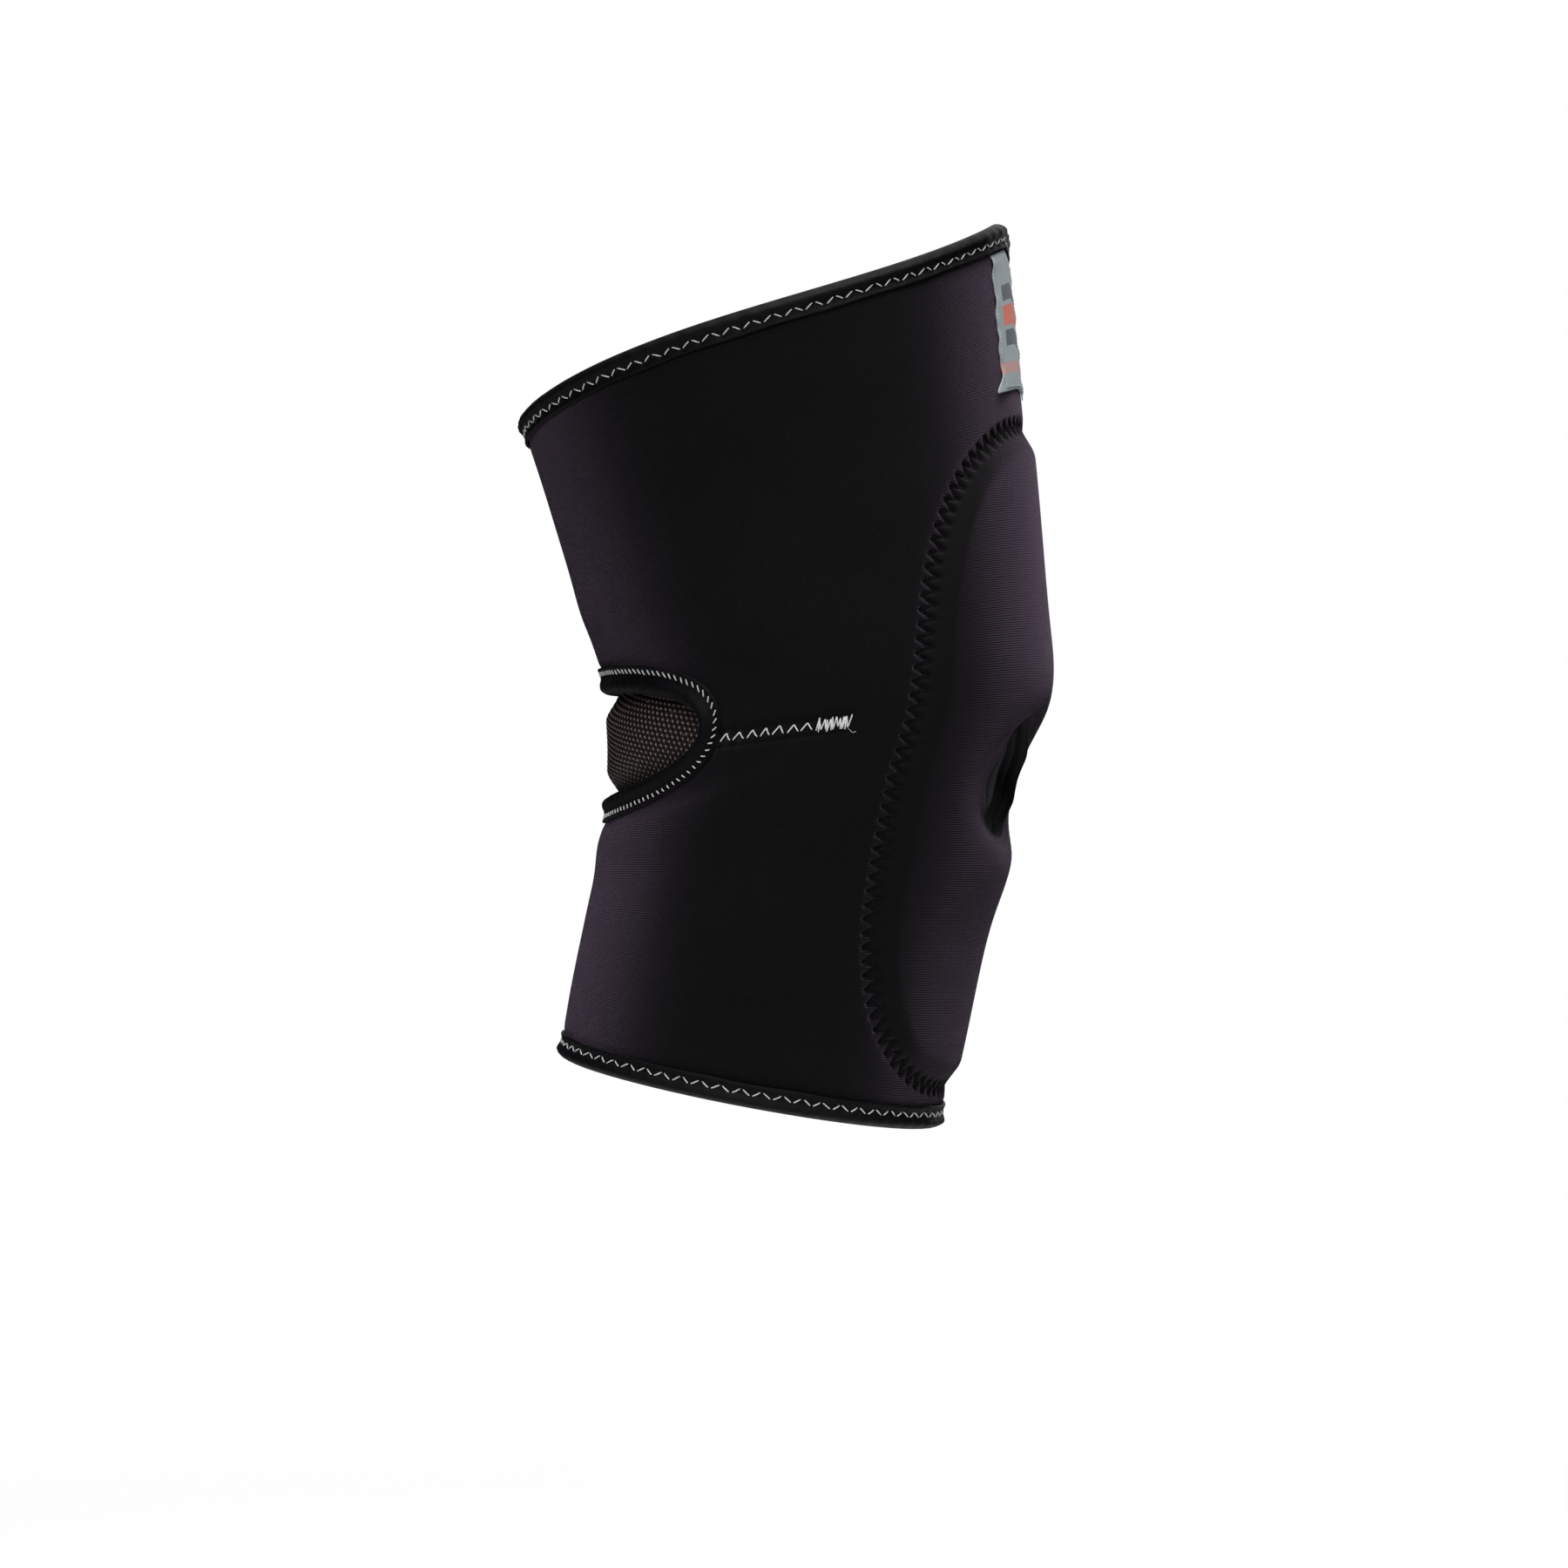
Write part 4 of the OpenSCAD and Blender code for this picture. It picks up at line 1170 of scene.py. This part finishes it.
def dart(side, name):
    """White zigzag from the vent's tip towards the pad, and the dense bar tack that ends it."""
    legs = 2 * round((DART_U0 - DART_U1) / DEG_PER_MM / DART_PITCH)
    k = np.arange(legs + 1)
    u = side * (mix(DART_U0 - 0.3, DART_U1, k / legs) + jitter(len(k), 0.16))
    zigzag = np.where(k % 2 == 1, DART_HEIGHT / 2, -DART_HEIGHT / 2)
    v = DART_V + (zigzag + jitter(len(k), 0.16)) / span_at(90)

    def sinking(u, v):
        """The lower part of each stitch is drawn down into the fold."""
        return fabric_relief(u, v) - 0.75 * (1 - smooth((v - DART_V) * span_at(90), -1.5, -0.1))

    paths, ups = legs_over(u, v, sinking, 0.4, 0.22)
    piece = strands("dart_thread_" + name, paths, ups, THREAD_R)
    finish_piece(piece, white_thread, ["dart_thread_" + name])
    k = np.arange(TACK_LEGS + 1)
    u = side * (mix(DART_U1 - 0.6, TACK_U1, k / TACK_LEGS) + jitter(len(k), 0.22))
    tall = TACK_HEIGHT / 2 * (1 - 0.25 * (k % 5 == 4))
    v = DART_V + 0.3 / span_at(90) + (np.where(k % 2 == 1, tall, -tall) + jitter(len(k), 0.3)) / span_at(90)
    paths, ups = legs_over(u, v, fabric_relief, 0.4, 0.34)
    tail_u = side * np.array([TACK_U1 + 0.5, TACK_U1 - 0.9, TACK_U1 - 1.7])
    tail = legs_over(tail_u, DART_V + np.array([-1.6, -3.0, -2.7]) / span_at(90), fabric_relief, 0.12, 0.1)
    paths, ups = np.concatenate((paths, tail[0])), np.concatenate((ups, tail[1]))
    radius = np.full(len(paths), 0.2)
    radius[-2:] = 0.07
    piece = strands("bar_tack_thread_" + name, paths, ups, radius)
    finish_piece(piece, white_thread, ["bar_tack_" + name])


dart(1, "right")
dart(-1, "left")

LABEL_T = 0.32


def label_height(x, y):
    """The label's waviness: it lifts a little along its near and far edges and curls at its lower corners."""
    edge = smooth(np.abs(x), 0.7, 1.0)
    wave = 0.20 * np.sin(y * 21 + 0.6) + 0.14 * np.sin(y * 47 + x * 2)
    corner = bell(1 - x, 0.2) * bell(y, 0.09)
    return 0.2 + edge * (0.22 + wave) + 0.7 * corner + 0.06 * np.sin(y * 13 + x)


def label():
    """A woven label whose top is caught under the tape."""
    nu, nv = 48, 110
    across, up = np.linspace(-1, 1, nu + 1), np.linspace(0, 1, nv + 1)
    x, y = (a.ravel() for a in np.meshgrid(across, up, indexing="ij"))
    wander = 0.03 * np.sin(y * 23 + 1) + 0.34 * bell(y, 0.075) * (x > 0) - 0.07 * bell(y - 0.9, 0.3)
    wavy = 1 + smooth(np.abs(x), 0.6, 1) * wander
    u, v = x * LABEL_U * wavy, mix(LABEL_V0, LABEL_V1, y) + 0.0012 * np.sin(x * 3 + 1) * bell(y, 0.1)
    base = fabric_relief(u, v)
    h = base + label_height(x, y)
    tucked = smooth(y, 0.93, 0.99)
    h = mix(h, base + 0.15, tucked)
    n = len(u)
    points = np.concatenate((at(u, v, h + LABEL_T * (1 - 0.6 * tucked)), at(u, v, h)))
    i, j = indices(nu, nv)
    w = nv + 1
    face = np.stack((i * w + j, (i + 1) * w + j, (i + 1) * w + j + 1, i * w + j + 1), 1)
    border = np.concatenate((np.arange(nu + 1) * w, nu * w + np.arange(1, w),
                             np.arange(nu - 1, -1, -1) * w + nv, np.arange(nv - 1, 0, -1)))
    follow = np.roll(border, -1)
    walls = np.stack((follow, border, border + n, follow + n), 1)
    sheet = list(face) + list(face[:, ::-1] + n) + list(walls)
    ids = np.concatenate(sheet) % n
    width, tall = 2 * LABEL_U * MM_PER_DEG * 1.05, (LABEL_V1 - LABEL_V0) * span_at(0)
    uv = np.stack((x[ids] * width / 2, y[ids] * tall), 1) * MM
    polygons = outward_facing(points, sheet)
    if polygons is not sheet:
        uv = np.concatenate([part[::-1] for part in np.split(uv, len(sheet))])
    piece = build("label", points, polygons, uv)
    finish_piece(piece, label_material(), ["woven_label"], "thigh")
    side = np.linspace(0.985, 0.035, 34)
    across = np.linspace(-0.93, 0.93, 18)
    path = [(-0.93, a) for a in side] + [(b, 0.03) for b in across[1:]] + [(0.93, a) for a in side[::-1]]
    px, py = np.array(path).T

    def over(u, v):
        lx, ly = u / LABEL_U, (v - LABEL_V0) / (LABEL_V1 - LABEL_V0)
        return fabric_relief(u, v) + label_height(lx, ly) + LABEL_T

    paths, ups = legs_over(px * LABEL_U, mix(LABEL_V0, LABEL_V1, py), over, 0.16, 0.06)
    piece = strands("label_stitching", paths, ups, 0.13)
    finish_piece(piece, label_yarn, ["label_thread"], "thigh")


label()

BACK_PITCH = 4.2
BACK_ZIGZAG = 4.0


def back_seam():
    """Black flat seam that closes the tube, above and below the vent."""
    runs = []
    lip = VENT_HALF_V + 8.6 / span_at(180)
    edge = 9.0 / span_at(180)
    for v0, v1 in ((edge, VENT_V - lip), (VENT_V + lip, 1 - edge)):
        legs = 2 * round((v1 - v0) * span_at(180) / BACK_PITCH)
        k = np.arange(legs + 1)
        u = 180 + np.where(k % 2 == 0, 0.5, -0.5) * BACK_ZIGZAG * DEG_PER_MM
        runs.append(legs_over(u, mix(v0, v1, k / legs), fabric_relief, 0.3, 0.2))
    piece = strands("back_seam_thread", *(np.concatenate([r[k] for r in runs]) for k in (0, 1)), 0.24)
    finish_piece(piece, black_thread,
                 ["back_seam_thread_thigh", "back_seam_thread_knee", "back_seam_thread_shin"])


back_seam()

# ---------------------------------------------------------------- stage and light


FLOOR_RADIUS = 0.95
FLOOR_Z = -0.33
FLOOR_RINGS = (0.3, 0.6, 0.8, 0.9, 1.0)


def make_floor():
    """A white disc that fades out towards its rim."""
    steps = 96
    turns = [TAU * i / steps for i in range(steps)]
    points = [(0, 0, 0)] + [(FLOOR_RADIUS * r * math.cos(a) / MM, FLOOR_RADIUS * r * math.sin(a) / MM, 0)
                            for r in FLOOR_RINGS for a in turns]
    faces = [[0, 1 + i, 1 + (i + 1) % steps] for i in range(steps)]
    for k in range(len(FLOOR_RINGS) - 1):
        a = 1 + k * steps
        b = a + steps
        faces += [[a + i, b + i, b + (i + 1) % steps, a + (i + 1) % steps] for i in range(steps)]
    floor = build("floor", points, faces)
    floor.location.z = FLOOR_Z
    m = Shader("floor", (0.93, 0.93, 0.93), 0.8, 0.2)
    m.color(m.blend(m.noise(3, 2), (0.92, 0.92, 0.93), (0.95, 0.95, 0.96)))
    x, y, _ = m.split(m.coords())
    r = m.math("SQRT", m.math("ADD", m.times(x, x), m.times(y, y)))
    fade = m.ramp(r, (0.25, (1, 1, 1)), (0.85, (0, 0, 0)))
    m.links.new(fade, m.bsdf.inputs["Alpha"])
    floor.data.materials.append(m.material)


def soft_box(name, azimuth, elevation, distance, size, power):
    """An area light that faces the sleeve. Azimuth 0 is at -Y, and 90 at +X."""
    a, e = math.radians(azimuth), math.radians(elevation)
    away = Vector((math.sin(a) * math.cos(e), -math.cos(a) * math.cos(e), math.sin(e)))
    data = bpy.data.lights.new(name, "AREA")
    data.shape = "RECTANGLE"
    data.size, data.size_y = size
    data.energy = power
    light = bpy.data.objects.new(name, data)
    light.location = away * distance
    light.rotation_mode = "QUATERNION"
    light.rotation_quaternion = away.to_track_quat("Z", "Y")
    add_to_scene(light)


def make_light():
    world = bpy.data.worlds.new("studio")
    bpy.context.scene.world = world
    world.use_nodes = True
    world.node_tree.nodes["Background"].inputs["Color"].default_value = (1, 1, 1, 1)
    world.node_tree.nodes["Background"].inputs["Strength"].default_value = 1.0
    world.cycles_visibility.diffuse = False
    world.cycles_visibility.glossy = False
    soft_box("key", 60, 76, 1.6, (0.8, 0.8), 21)
    soft_box("fill", 6, 34, 2.2, (1.6, 1.4), 33)
    soft_box("top", 0, 88, 1.5, (1.2, 1.2), 14)
    soft_box("rear", 180, 20, 2.0, (1.6, 1.4), 13)
    bpy.context.scene.view_settings.view_transform = "Standard"


make_floor()
make_light()
